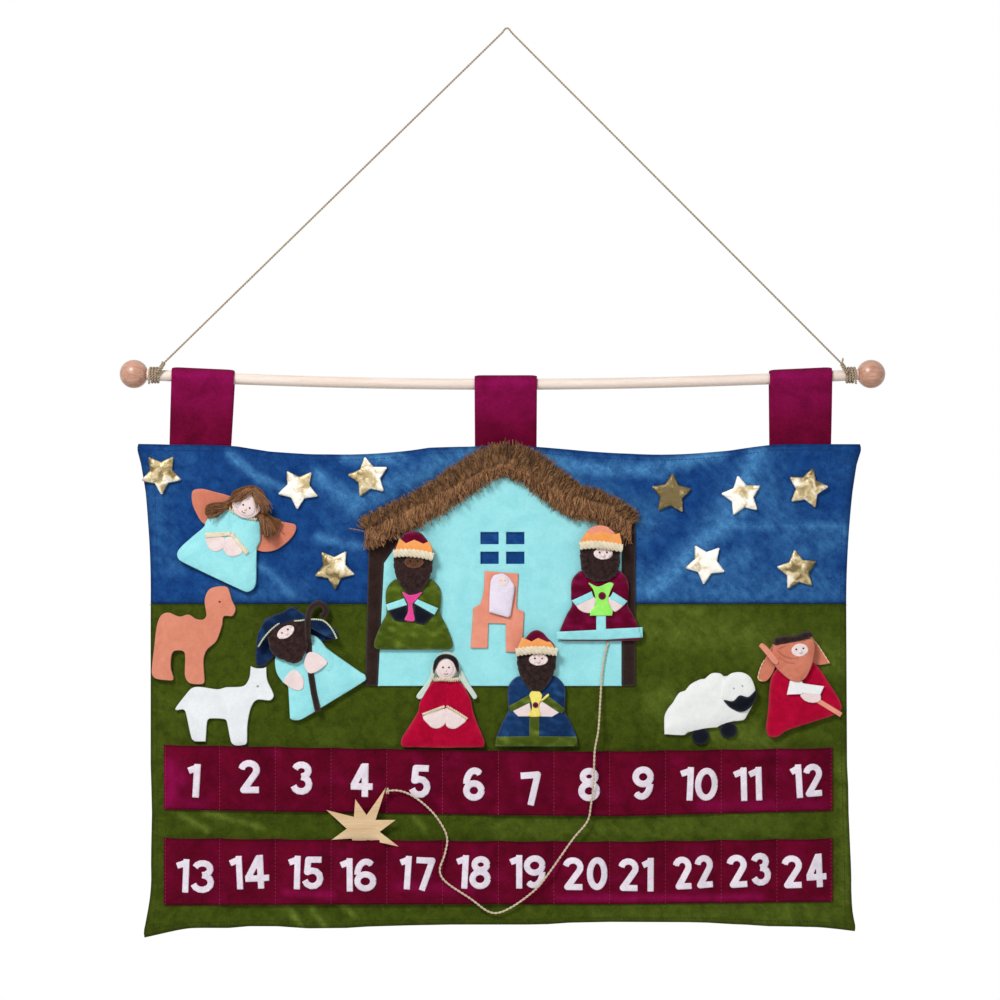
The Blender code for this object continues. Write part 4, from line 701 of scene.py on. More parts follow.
def sew(name, lines, look, body, slot, pitch=3.6, length=2.5, thread=0.6):
    """Running stitches along lines of (x, y, z) points in millimetres."""
    points, edges = [], []
    for line in lines:
        first = len(points)
        points += [tuple(float(v) * MM for v in p) for p in line]
        edges += [(first + i, first + i + 1) for i in range(len(line) - 1)]
    mesh = bpy.data.meshes.new(name)
    mesh.from_pydata(points, edges, [])
    values = {"Pitch": pitch * MM, "Length": length * MM, "Thread": thread * MM, "Look": look}
    return grow(name, stitches, mesh, values, look, body, slot)


def cloth_line(share_down):
    share, down = np.array(share_down, dtype=float).T
    x, z = on_banner(share, down)
    return np.stack([x, front_of_cloth(share, down, x, z) - 1.55, z], 1)


def run_between(*corners, steps=60):
    corners = np.array(corners, dtype=float)
    return np.concatenate([corners[i] + (corners[i + 1] - corners[i]) * np.linspace(0, 1, steps)[:, None]
        for i in range(len(corners) - 1)])


blue_thread = cloth_look("blue_thread", (34, 78, 135), (12, 40, 88), 0.3, raised=0.2)
green_thread = cloth_look("green_thread", (58, 74, 22), (34, 46, 8), 0.3, raised=0.2)
edge = 6 / WIDE
sew("sky_edge_stitches", [cloth_line(run_between((edge, SKY_TALL), (edge, 6), (1 - edge, 6), (1 - edge, SKY_TALL)))],
    blue_thread, "banner", "sky_blue")
sew("ground_edge_stitches", [
    cloth_line(run_between((edge, SKY_TALL), (edge, TALL - 6), (1 - edge, TALL - 6), (1 - edge, SKY_TALL))),
    cloth_line(run_between((0, SKY_TALL + 1.2), (1, SKY_TALL + 1.2), steps=160)),
], green_thread, "banner", "grass_green")

# The three tabs: strips of wine-red plush folded over the rod, both ends sewn into the top seam.
wine = cloth_look("wine_plush", (128, 8, 58), (78, 0, 28), 0.04, hair=620, blotch=45, lit=(176, 24, 118), raised=0.5)
wine_thread = cloth_look("wine_thread", (168, 84, 112), (128, 44, 76), 0.05, raised=0.2)
TAB_FRONT, TAB_BACK, TAB_OUT, TAB_TURN, TAB_HALF, TAB_FLAT = 2.1, 3.7, 7.2, 7.6, 31.2, 62.5
for tab_name, place in zip(("tab_left", "tab_centre", "tab_right"), TAB_SHARES):
    middle = LEFT + place * WIDE
    seam = float(on_banner(np.array([place]), np.array([0]))[1][0])
    top = rod_z(middle)
    rise = top - 1.3 - seam
    path = [(TAB_FRONT, seam - 10 + 2.5 * i) for i in range(5)]
    path += [(TAB_FRONT + (-TAB_OUT - TAB_FRONT) * t, seam + rise * t) for t in np.linspace(0.12, 0.95, 12)]
    path += [(-7.35 * math.cos(t), top + TAB_TURN * math.sin(t)) for t in np.radians(np.linspace(-10, 190, 21))]
    path += [(TAB_BACK + (TAB_OUT - TAB_BACK) * t, seam + rise * t) for t in np.linspace(0.95, 0.12, 12)]
    path = np.array(path + [(TAB_BACK, seam - 2.5 * i) for i in range(5)])
    ahead = np.gradient(path, axis=0)
    ahead /= np.linalg.norm(ahead, axis=1)[:, None]
    follow = np.clip((path[:, 1] - seam) / (top - seam), 0, 1)
    out = np.stack([-ahead[:, 1], ahead[:, 0]], 1) * (0.6 + 0.9 * ease(follow * 4))[:, None]
    columns = 33
    across = np.sin(np.linspace(-math.pi / 2, math.pi / 2, columns))
    round_side = (1 - 0.7 * np.abs(across) ** 14)[None]
    surfaces = []
    for side in (1, -1):
        lean = (3.2 * follow - 1.2)[:, None] * (tab_name == "tab_left")
        x = middle + across[None] * (TAB_HALF - 0.3 * (1 - follow))[:, None] + lean
        hang = np.array([rod_z(v) for v in x.ravel()]).reshape(x.shape) - top
        low = (follow < 0.85)[:, None]
        ripple = 0.5 * np.sin(across[None] * 5 + place * 40) * np.sin(np.pi * follow)[:, None] * low
        y = path[:, :1] + out[:, :1] * side * round_side + ripple
        z = path[:, 1:] + out[:, 1:] * side * round_side + hang * follow[:, None]
        surfaces.append(np.stack([x, y, z], -1).reshape(-1, 3))
    points, faces = close_up(*surfaces, grid_faces(len(path), columns))
    faces = [tuple(reversed(face)) for face in faces]
    # Painted sheen in two bands below the rod, and painted shade along the tab's top edge and, on all but the left
    # tab, along its sides.
    below = top + 9.1 - points[:, 2] + np.array([rod_z(v) for v in points[:, 0]]) - top
    nap = 0.42 * np.exp(-(((below - 8) / 8) ** 2)) + 0.28 * np.exp(-(((below - 28) / 18) ** 2))
    side_shade_mask = (np.abs(points[:, 0] - middle) > 31) * (tab_name != "tab_left")
    painted_edge_shade = 0.3 * np.exp(-((below / 1.3) ** 2)) + 0.25 * side_shade_mask
    strip = finish(tab_name + "_strip", points, faces, wine, "banner", "burgundy_felt", [tab_name],
        {"nap": nap, "seam": painted_edge_shade})
    sew(tab_name + "_seam", [[(middle + v, -0.6, seam - 5.5) for v in np.linspace(-31, 31, 12)]], blue_thread,
        "banner", "sky_blue")

# The pockets: two long strips of the same crushed plush, sewn down at the ends, along the foot and at eleven
# dividers each, so that they gape a little along the hemmed top.
POCKETS, POCKET_TALL, POCKET_FLAT = 12, 63, 712
PITCH = 668.4 / POCKETS
ROW_LEFT = -342.951
ROW_TOPS = {"upper": -719.5154, "lower": -812.4932}
ROW_SHARES = (0, 0.5, 0.68, 1)
ROW_LIFTS = {"upper": ((4, -2, -2.3, 1), (2, -3.5, -4.5, 1)), "lower": ((4, 1, 0.5, 3.5), (-0.5, 0.5, 0.5, 3))}
wine_dark = cloth_look("wine_pocket_plush", (118, 4, 44), (72, 0, 20), 0.03, hair=620, blotch=60, lit=(160, 14, 92),
    raised=0.5)
wine_foot_thread = cloth_look("wine_foot_thread", (120, 26, 66), (92, 12, 44), 0.05, raised=0.2)


def pocket_ends(x, row):
    """Top and foot of a pocket strip: the rows hang in a slight curve."""
    share = (x - ROW_LEFT) / (POCKETS * PITCH)
    head, foot = (np.interp(share, ROW_SHARES, lifts) for lifts in ROW_LIFTS[row])
    return ROW_TOPS[row] + head, ROW_TOPS[row] - POCKET_TALL + foot


def pocket_face(x, z, row):
    """Y of a pocket strip's front."""
    across = (x - ROW_LEFT) / PITCH
    number = np.clip(np.floor(across), 0, POCKETS - 1)
    head, foot = pocket_ends(x, row)
    down = np.clip((head - z) / (head - foot), 0, 1)
    swell = np.where((row == "lower") & (number == 3), 11.5, 9)
    bulge = swell * np.abs(np.sin(np.pi * np.clip(across, 0, POCKETS))) * (1 - down * down)
    crush = noise_at(x * 0.055, z * 0.05, 3) + 0.6 * noise_at(x * 0.14, z * 0.11, 8)
    calm = ease(bulge / 3) * ease((1 - down) * 5)
    return CLOTH_FACE - 1.5 - bulge + 0.8 * crush * calm


pocket_sheen_streaks = ((0.8, 9, (((170, 768), (172, 802)), ((150, 780), (180, 778)))),
    (0.8, 4, (((286, 892), (332, 895)), ((560, 898), (760, 897)))),
    (0.5, 6, (((170, 802), (205, 804)), ((700, 806), (820, 804)), ((400, 885), (470, 890)))))
for row in ROW_TOPS:
    columns, rows = POCKETS * 15 + 1, 22
    x, down = np.meshgrid(np.linspace(ROW_LEFT, ROW_LEFT + POCKETS * PITCH, columns), np.linspace(0, 1, rows))
    x, down = x.ravel(), down.ravel()
    head, foot = pocket_ends(x, row)
    z = head + (foot - head) * down
    y = pocket_face(x, z, row)
    points, faces = close_up(np.stack([x, y, z], 1), np.stack([x, y + 1.2, z], 1), grid_faces(rows, columns))
    # Painted sheen: in random patches and along the streak lines.
    nap = 0.3 * np.maximum(0, noise_at(x * 0.05, z * 0.07, 4))
    for strength, width, lines in pocket_sheen_streaks:
        nap = np.maximum(nap, strength * near_lines(x, z, [sheet(line) for line in lines], width))
    # Painted shade: a dark line along each strip's mouth and along its foot.
    seam = 0.6 * np.exp(-((np.minimum(down, 1 - down) * POCKET_TALL / 1.6) ** 2))
    strip = finish(f"pocket_strip_{row}", points, faces, wine_dark, "banner", "burgundy_felt", [f"pocket_row_{row}"],
        {"nap": np.tile(nap, 2), "seam": np.tile(seam, 2)})
    lines = []
    for i in range(POCKETS + 1):
        x = np.full(24, ROW_LEFT + i * PITCH + (1.6 if i == 0 else -1.6 if i == POCKETS else 0))
        head, foot = pocket_ends(x, row)
        z = np.linspace(head[0] - 1.5, foot[0] + 1.5, 24)
        lines.append(np.stack([x, pocket_face(x, z, row) - 0.1, z], 1))
    sew(f"pocket_seams_{row}", lines, wine_thread, "banner", "burgundy_felt", 3.6, 2.4, 0.42)
    x = np.linspace(ROW_LEFT + 1, ROW_LEFT + POCKETS * PITCH - 1, 240)
    z = pocket_ends(x, row)[1] + 2.2
    sew(f"pocket_foot_seam_{row}", [np.stack([x, pocket_face(x, z, row) - 0.05, z], 1)], wine_foot_thread, "banner",
        "burgundy_felt", 3.6, 2.4, 0.42)


# The numerals: 1 to 24 cut from thick white felt in plain strokes with square ends, one glued on each pocket.
# Felt shapes from here on are cut to outlines, most of them drawn on the pattern sheet.


def outline_of(points, step=1.2):
    """A closed smooth outline through points. A point with a third value is a sharp corner."""
    knots = [Vector(p[:2]) for p in points]
    line = []
    for i in range(len(knots)):
        j = (i + 1) % len(knots)
        a, b, c, d = knots[i - 1], knots[i], knots[j], knots[(i + 2) % len(knots)]
        length = (c - b).length
        leave, arrive = (c - a) / 2, (d - b) / 2
        leave = c - b if len(points[i]) > 2 else leave * min(1, length / max(leave.length, 1e-6))
        arrive = c - b if len(points[j]) > 2 else arrive * min(1, length / max(arrive.length, 1e-6))
        steps = max(1, round(length / step))
        for t in (k / steps for k in range(steps)):
            p = b + (c - b) * t * t * (3 - 2 * t) + leave * t * (1 - t) ** 2 - arrive * t * t * (1 - t)
            line.append((p.x, p.y))
    return np.array(line)


def depth_inside(spots, lines):
    """How far spots lie inside closed outlines; less than 0 outside."""
    starts = np.concatenate(lines)
    run = np.concatenate([np.roll(line, -1, axis=0) for line in lines]) - starts
    run[np.abs(run) < 1e-9] = 1e-9
    depths = []
    for first in range(0, len(spots), 2000):
        part = spots[first : first + 2000, None]
        t = np.clip(((part - starts) * run).sum(-1) / (run * run).sum(-1), 0, 1)
        near = np.linalg.norm(part - starts - t[..., None] * run, axis=-1).min(axis=1)
        height = (part[..., 1] - starts[:, 1]) / run[:, 1]
        inside = ((height >= 0) & (height < 1) & (part[..., 0] < starts[:, 0] + height * run[:, 0])).sum(axis=1) % 2
        depths.append(np.where(inside == 1, near, -near))
    return np.concatenate(depths)


def area_of(line):
    after = np.roll(line, -1, axis=0)
    return abs((line[:, 0] * after[:, 1] - after[:, 0] * line[:, 1]).sum()) / 2


def felt(name, cuts, look, body, slot, stands_for=(), back=0, thick=1, crown=0, reach=12, grid=3.2, wave=(0, 8),
        step=1.2, held="laid"):
    """Felt cut to outlines: flat, or stuffed to a crown. Each cut is an outline, or a list of one and its holes.

    back is where its back lies, as a number or a surface. Gives its front surface, for what is sewn onto it.
    """
    points, faces, edge_highlight_mask, painted_sheens, total, front = [], [], [], [], 0, None
    for cut in cuts:
        lines = [outline_of(line, step) for line in (cut if hasattr(cut[0][0], "__len__") else [cut])]
        total += area_of(lines[0]) - sum(area_of(line) for line in lines[1:])
        low, high = lines[0].min(axis=0), lines[0].max(axis=0)
        spots = [np.concatenate(lines)]
        for inset in (0.5, 1.3, 2.4):
            for line in lines:
                side = np.roll(line, -1, axis=0) - np.roll(line, 1, axis=0)
                spread_out = np.maximum(np.linalg.norm(side, axis=1), 1e-6)[:, None]
                side = np.stack([-side[:, 1], side[:, 0]], 1) / spread_out * inset
                for way in (side, -side):
                    ring = line + way
                    spots.append(ring[depth_inside(ring, lines) > inset * 0.85])
        rows = np.arange(low[1], high[1], grid * 0.87)
        hexes = np.array([(x + (i % 2) * grid / 2, z) for i, z in enumerate(rows)
            for x in np.arange(low[0], high[0], grid)])
        spots.append(hexes[depth_inside(hexes, lines) > 2.4 + grid * 0.4] if len(hexes) else np.zeros((0, 2)))
        edges, first = [], 0
        for line in lines:
            edges += [(first + i, first + (i + 1) % len(line)) for i in range(len(line))]
            first += len(line)
        cut_up = geometry.delaunay_2d_cdt([Vector(p) for p in np.concatenate(spots)], edges, [], 0, 1e-4, False)
        spots, triangles = np.array(cut_up[0]), np.array(cut_up[2])
        triangles = triangles[depth_inside(spots[triangles].mean(axis=1), lines) > 0]
        a, b, c = (spots[triangles[:, k]] for k in range(3))
        turned = (b - a)[:, 0] * (c - a)[:, 1] - (b - a)[:, 1] * (c - a)[:, 0] < 0
        triangles[turned] = triangles[turned][:, ::-1]
        used = np.unique(triangles)
        renumber = np.zeros(len(spots), dtype=int)
        renumber[used] = np.arange(len(used))
        spots, triangles = spots[used], renumber[triangles]

        def surface(at, lines=lines):
            deep = np.maximum(depth_inside(at, lines), 0)
            behind = back(at) if callable(back) else np.full(len(at), back)
            rounded = 0.35 + 0.65 * np.sqrt(1 - (1 - np.minimum(deep / min(0.7, thick), 1)) ** 2)
            dome = 1 - (1 - np.minimum(deep / reach, 1)) ** 2
            stir = noise_at(at[:, 0] / wave[1], at[:, 1] / wave[1], 7) * wave[0] * np.minimum(deep / 2, 1)
            return behind - thick * rounded - crown * dome + stir

        behind = back(spots) if callable(back) else np.full(len(spots), back)
        shape = close_up(np.stack([spots[:, 0], surface(spots), spots[:, 1]], 1),
            np.stack([spots[:, 0], behind, spots[:, 1]], 1),
            [tuple(int(v) for v in t) for t in triangles])
        faces += [tuple(v + len(points) for v in face) for face in shape[1]]
        points += list(shape[0])
        # Marks: a painted highlight along the cut edges of felt thicker than 0.4 mm, and painted sheen in random
        # patches, which looks with a lit colour show.
        edge_highlight_mask += list(np.exp(-np.maximum(depth_inside(spots, lines), 0) / 0.8) * (thick > 0.4)) * 2
        painted_sheens += list(1.1 * np.maximum(0, noise_at(spots[:, 0] * 0.1 + spots[:, 1] * 0.04, spots[:, 1] * 0.16, 3))) * 2
        front = front or surface
    piece = finish(name, points, faces, look, body, slot, stands_for, {"edge": edge_highlight_mask, "nap": painted_sheens}, 50)
    if crown >= 0.8:
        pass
    elif total > 31:
        side = max(math.sqrt(total * 1.15), 10.1) * MM
    return front


def face_at(surface, x, z):
    """Y of a felt's front at one point."""
    return surface(np.array([(x, z)]))[0]


def arc(x, z, wide, tall, first, last, steps=10):
    """Points along part of an ellipse, from one angle to another in degrees."""
    return [(x + wide * math.cos(math.radians(t)), z + tall * math.sin(math.radians(t)))
        for t in np.linspace(first, last, steps)]


DIGIT_MIDDLE = 17
DIGITS = {
    "0": [arc(11, 17, 7.5, 13.5, 0, 360, 25)],
    "1": [[(12, 0), (12, 34)], [(12.5, 30.6), (3.5, 26.5)]],
    "2": [arc(11, 23.8, 7.5, 6.8, 172, -38) + [(5.2, 3.6), (20.8, 3.6)]],
    "3": [arc(10.3, 24.6, 6.8, 6, 165, -90), arc(10.3, 11, 7.9, 7.5, 90, -165)],
    "4": [[(14.8, 0), (14.8, 34)], [(13.8, 32), (3.2, 11.3)], [(0.5, 10.6), (22.6, 10.6)]],
    "5": [[(19, 30.5), (6, 30.5), (5.2, 18)] + arc(10.5, 11.6, 7.7, 8, 128, -165)],
    "6": [arc(11, 10.6, 7.5, 7.2, 0, 360, 22), arc(11.7, 17.2, 8.2, 13.4, 180, 50)],
    "7": [[(1.5, 30.5), (18.6, 30.5), (9.4, 0)]],
    "8": [arc(11, 25.2, 6.2, 5.4, 0, 360, 20), arc(11, 10.6, 7.6, 7.2, 0, 360, 22)],
    "9": [arc(11, 23.4, 7.5, 7.2, 0, 360, 22), arc(10.3, 16.8, 8.2, 13.4, 0, -130)],
}


def stroke_outlines(strokes, half, step=0.7):
    """The outlines round strokes of an even width with square ends."""
    ends = [(np.array(a), np.array(b), i > 0, i < len(s) - 2) for s in strokes
        for i, (a, b) in enumerate(zip(s, s[1:]))]
    every = np.array([p for s in strokes for p in s])
    low, high = every.min(axis=0) - half - 2 * step, every.max(axis=0) + half + 2 * step
    columns, rows = (int(v) + 2 for v in (high - low) / step)
    x, z = np.meshgrid(low[0] + step * np.arange(columns), low[1] + step * np.arange(rows))
    out = np.full(x.shape, 99)
    for a, b, joint_a, joint_b in ends:
        length = np.linalg.norm(b - a)
        along = ((x - a[0]) * (b - a)[0] + (z - a[1]) * (b - a)[1]) / length
        away = np.abs((x - a[0]) * (b - a)[1] - (z - a[1]) * (b - a)[0]) / length
        out = np.minimum(out, np.maximum(away - half, np.maximum(-along, along - length)))
        for joint, end in ((joint_a, a), (joint_b, b)):
            if joint:
                out = np.minimum(out, np.hypot(x - end[0], z - end[1]) - half)
    follow = {}
    for i in range(rows - 1):
        for j in range(columns - 1):
            corners = [(i, j), (i, j + 1), (i + 1, j + 1), (i + 1, j)]
            crossings = []
            for p, q in zip(corners, corners[1:] + corners[:1]):
                if (out[p] < 0) != (out[q] < 0):
                    crossings.append(((min(p, q), max(p, q)), out[p] < 0))
            for k, (edge, inside) in enumerate(crossings):
                if inside:
                    follow[edge] = crossings[(k + 1) % len(crossings)][0]

    def place(key):
        p, q = key
        t = out[p] / (out[p] - out[q])
        return (low[0] + step * (p[1] + (q[1] - p[1]) * t), low[1] + step * (p[0] + (q[0] - p[0]) * t))

    loops = []
    while follow:
        key = next(iter(follow))
        loop = []
        while key in follow:
            loop.append(place(key))
            key = follow.pop(key)
        if len(loop) > 5:
            loops.append(loop)
    return sorted(loops, key=lambda loop: -area_of(np.array(loop)))


white_felt = cloth_look("white_felt", (255, 255, 255), (236, 236, 238), 0.05, hair=900, raised=0.4)
numeral_felt = cloth_look("numeral_felt", (255, 248, 255), (226, 212, 230), 0.05, hair=700, blotch=160, raised=0.5)
NUMERAL_PLACES = {
    "upper": ((194.5, 780), (251, 776), (302, 777.5), (362, 779.5), (420.5, 781), (474, 783.5), (530, 788), (589, 784),
        (642.5, 782.5), (698.5, 783.5), (747.5, 783.5), (807, 780)),
    "lower": ((195.5, 875.5), (250, 871.5), (306.5, 872), (358.5, 874), (417, 872.5), (473.5, 871.5), (527.5, 871),
        (585, 873), (636, 874), (694, 871.5), (748.5, 869.5), (804, 870.5)),
}
NUMERAL_WIDTHS = (38.5, 29, 34, 38.5, 40, 36.5, 36.5, 35.5, 35.5, 36, 45, 36, 42, 43.5, 45)
NUMERAL_TILTS = (4, 0, 2, 1, 3, 0, -4, 0, 3, 2, -2, -4, 3, -2, 2, 0, 4, 3, 0, 0, 0, -4, -5, -3)


def lay_digits(day, half, squeeze):
    """The strokes of each digit side by side, and the width of them all."""
    laid, right = [], -0.9
    for digit in str(day):
        drawn = [[(x * squeeze, z) for x, z in stroke] for stroke in DIGITS[digit]]
        move = right + 0.9 + half * (0.3 if digit in "14" else 1) - min(p[0] for s in drawn for p in s)
        laid.append([[(x + move, z) for x, z in s] for s in drawn])
        right = max(p[0] for s in laid[-1] for p in s) + half * (0.2 if digit == "4" else 1)
    return laid, right


day = 0
for row, places in NUMERAL_PLACES.items():
    for px, pz in places:
        day += 1
        half, squeeze = 3.35, 1
        if day > 9:
            half = 3.15
            narrow, wide = lay_digits(day, half, 0)[1], lay_digits(day, half, 1)[1]
            squeeze = (NUMERAL_WIDTHS[day - 10] - narrow) / (wide - narrow)
        laid, wide = lay_digits(day, half, squeeze)
        tilt = math.radians(NUMERAL_TILTS[day - 1])
        cuts = []
        for drawn in laid:
            placed = []
            for loop in stroke_outlines(drawn, half):
                x, z = np.array(loop).T
                x, z = x - wide / 2, z - DIGIT_MIDDLE
                across = px - NAIL_ACROSS + x * math.cos(tilt) + z * math.sin(tilt)
                placed.append(list(zip(across, NAIL_DOWN - pz + z * math.cos(tilt) - x * math.sin(tilt))))
            cuts.append(placed)
        felt(f"numeral_{day}", cuts, numeral_felt, "banner", "white_felt", thick=1.3, grid=3, step=1.6,
            back=lambda at, row=row: pocket_face(at[:, 0], at[:, 1], row) + 0.1)

# The stable: a pale blue felt wall with four panes cut out of it, dark brown posts, the left one with a brace,
# all glued flat on the banner.
STABLE_LEFT, STABLE_FOOT = -140.523, -657


def sharp(points, dx=0, dz=0):
    return [(x + dx, z + dz, 1) for x, z in points]


pale_blue = cloth_look("pale_blue_felt", (170, 240, 244), (140, 218, 224), 0.04, hair=1000, raised=0.35)
dark_brown = cloth_look("dark_brown_felt", (60, 42, 38), (30, 20, 18), 0.03, hair=1000, raised=0.4)
wall = sharp([(11.4, 0), (255.2, 0), (255.2, 177.1), (133.4, 230), (31.5, 175), (31.5, 143.3), (26.4, 135.4),
    (17.5, 122.9)], STABLE_LEFT, STABLE_FOOT)
panes = [
    sharp([(x - 9, z - 6), (x - 9, z + 6), (x + 9, z + 6), (x + 9, z - 6)], STABLE_LEFT, STABLE_FOOT)
    for x in (123.15, 148.85) for z in (128.15, 147.85)
]
felt("stable_felt_wall", [[wall, *panes]], pale_blue, "banner", "light_blue_felt", ["stable_wall"], -0.6, 2, grid=5,
    wave=(0.3, 40), step=3)
felt("stable_left_post", [sharp([(-1.4, 0), (11.1, 0), (17.2, 123), (26.1, 135.6), (31.2, 143.4), (31.2, 170),
    (1.5, 155.9), (2.2, 138)], STABLE_LEFT, STABLE_FOOT)],
    dark_brown, "banner", "dark_brown_felt", ["post_left"], -0.6, 2, grid=4, step=2)
felt("stable_right_post", [sharp([(255.5, 0), (269, 0), (269, 165.5), (255.5, 177.1)], STABLE_LEFT, STABLE_FOOT)],
    dark_brown, "banner", "dark_brown_felt", ["post_right"], -0.6, 2, grid=4, step=2)

# The thatch: two bands of raffia fringe, each sewn to a tape along the gable, the upper one standing up off the
# slope and the lower one hanging down. The straws are of uneven length and colour.


def straw_tree():
    number, whole = "NodeSocketFloat", "NodeSocketInt"
    tree, given = start_tree("straws", (
        ("Density", number), ("Length", number), ("Width", number), ("Unevenness", number), ("Seed", whole),
        ("Bend", number), ("Look", "NodeSocketMaterial"),
    ))
    spots = node_in(tree, "GeometryNodeDistributePointsOnFaces", [("Mesh", given["Geometry"]),
        ("Density", given["Density"]), ("Seed", given["Seed"])])
    lie = node_in(tree, "GeometryNodeInputNamedAttribute", [("Name", "lie")], data_type="FLOAT_VECTOR")
    less = node_in(tree, "ShaderNodeMath", [(0, given["Unevenness"]), (1, -1)], operation="MULTIPLY")
    stray = node_in(tree, "FunctionNodeRandomValue", [("Min", less.outputs[0]), ("Max", given["Unevenness"]),
        ("Seed", given["Seed"])], data_type="FLOAT_VECTOR")
    aim = node_in(tree, "ShaderNodeVectorMath", [(0, lie.outputs[0]), (1, stray.outputs[0])], operation="ADD")
    turn = node_in(tree, "FunctionNodeAlignRotationToVector", [("Vector", aim.outputs[0])], axis="Z")
    straw = node_in(tree, "GeometryNodeMeshCone", [
        ("Vertices", 4), ("Side Segments", 4), ("Radius Top", 0.3), ("Radius Bottom", 0.5), ("Depth", 1),
    ])
    chance = node_in(tree, "FunctionNodeRandomValue", [(2, 0.72), (3, 1.12), ("Seed", given["Seed"])],
        data_type="FLOAT")
    reach = node_in(tree, "ShaderNodeVectorMath", [(0, lie.outputs[0])], operation="LENGTH")
    usual = node_in(tree, "ShaderNodeMath", [(0, given["Length"]), (1, reach.outputs["Value"])], operation="MULTIPLY")
    long = node_in(tree, "ShaderNodeMath", [(0, usual.outputs[0]), (1, chance.outputs[1])], operation="MULTIPLY")
    size = node_in(tree, "ShaderNodeCombineXYZ", [(0, given["Width"]), (1, given["Width"]), (2, long.outputs[0])])
    straws = node_in(tree, "GeometryNodeInstanceOnPoints", [
        ("Points", spots.outputs[0]), ("Instance", straw.outputs["Mesh"]), ("Rotation", turn.outputs[0]),
        ("Scale", size.outputs[0]),
    ])
    shade = node_in(tree, "FunctionNodeRandomValue", [("Seed", 5)], data_type="FLOAT")
    tinted = node_in(tree, "GeometryNodeStoreNamedAttribute", [
        ("Geometry", straws.outputs[0]), ("Name", "tint"), ("Value", shade.outputs[1]),
    ], data_type="FLOAT", domain="INSTANCE")
    real = node_in(tree, "GeometryNodeRealizeInstances", [("Geometry", tinted.outputs[0])])
    where = node_in(tree, "GeometryNodeInputPosition")
    drift = node_in(tree, "ShaderNodeTexNoise", [("Vector", where.outputs[0]), ("Scale", 190), ("Detail", 1)])
    centred = node_in(tree, "ShaderNodeVectorMath", [(0, drift.outputs["Color"]), (1, (0.5, 0.5, 0.5))],
        operation="SUBTRACT")
    much = node_in(tree, "ShaderNodeVectorMath", [(0, centred.outputs[0]), ("Scale", given["Bend"])],
        operation="SCALE")
    bent = node_in(tree, "GeometryNodeSetPosition", [("Geometry", real.outputs[0]), ("Offset", much.outputs[0])])
    dyed = node_in(tree, "GeometryNodeSetMaterial", [("Geometry", bent.outputs[0]), ("Material", given["Look"])])
    tree.links.new(dyed.outputs[0], tree.nodes.new("NodeGroupOutput").inputs[0])
    return tree


straws = straw_tree()


def straw_look(name, pale, deep):
    """Dry straw or wool: each strand its own shade between two colours, with streaks along it."""
    look, tree, sockets = start_look(name, Roughness=0.7, Sheen_Weight=0.1)
    tint = marked(tree, "tint")
    speck = spread(tree, cloud(tree, place_in(tree), 900, 2), 0.3, 0.7)
    shade = reckon(tree, "MULTIPLY_ADD", tint, 0.7, reckon(tree, "MULTIPLY", speck, 0.3))
    tree.links.new(mix(tree, shade, dye(*deep), dye(*pale)), sockets["Base Color"])
    return look


def fringe(name, strips, look, body, slot, density, length, width, uneven, seed, bend):
    """Strands growing from strips: each strip is four corners and the way that its strands lie."""
    points, faces, lies = [], [], []
    for corners, lie in strips:
        faces.append(tuple(range(len(points), len(points) + 4)))
        points += [tuple(v * MM for v in corner) for corner in corners]
        lies += [component for _ in corners for component in lie]
    mesh = bpy.data.meshes.new(name)
    mesh.from_pydata(points, [], faces)
    mesh.attributes.new("lie", "FLOAT_VECTOR", "POINT").data.foreach_set("vector", lies)
    values = {"Density": density * 1e6, "Length": length * MM, "Width": width * MM, "Unevenness": uneven, "Seed": seed,
        "Bend": bend * MM, "Look": look}
    return grow(name, straws, mesh, values, look, body, slot)


RIDGE = ((366, 530), (378, 524.5), (400, 514), (422.8, 503), (447, 490), (469.5, 478), (482, 470.5), (493, 466),
    (508, 464), (524, 470), (539.6, 479.7),
    (552, 487.5), (565, 495), (582, 499), (598, 503), (613, 511), (627, 520.6), (630.5, 524))
raffia_dark = straw_look("raffia_upper", (160, 112, 64), (62, 38, 16))
raffia_light = straw_look("raffia_lower", (178, 124, 74), (72, 42, 18))
tape = cloth_look("fringe_tape", (98, 62, 36), (54, 32, 18), 0.03, raised=0.6)
ridge = smooth_run([(x, 0, z) for x, z in sheet(RIDGE)], 6)[:, (0, 2)]
ridge_out = np.gradient(ridge, axis=0)
ridge_out = np.stack([-ridge_out[:, 1], ridge_out[:, 0]], 1) / np.linalg.norm(ridge_out, axis=1)[:, None]
reach_up = np.interp(ridge[:, 0], (-146, -85, -42, -5, 17, 52, 71, 110, 128),
    (0.85, 0.9, 1.15, 1.3, 1.35, 1.15, 0.8, 0.85, 0.8))
reach_down = np.interp(ridge[:, 0], (-146, -85, -42, -5, 23, 42, 71, 128), (1, 1.05, 0.9, 0.66, 0.8, 0.9, 1.1, 1))
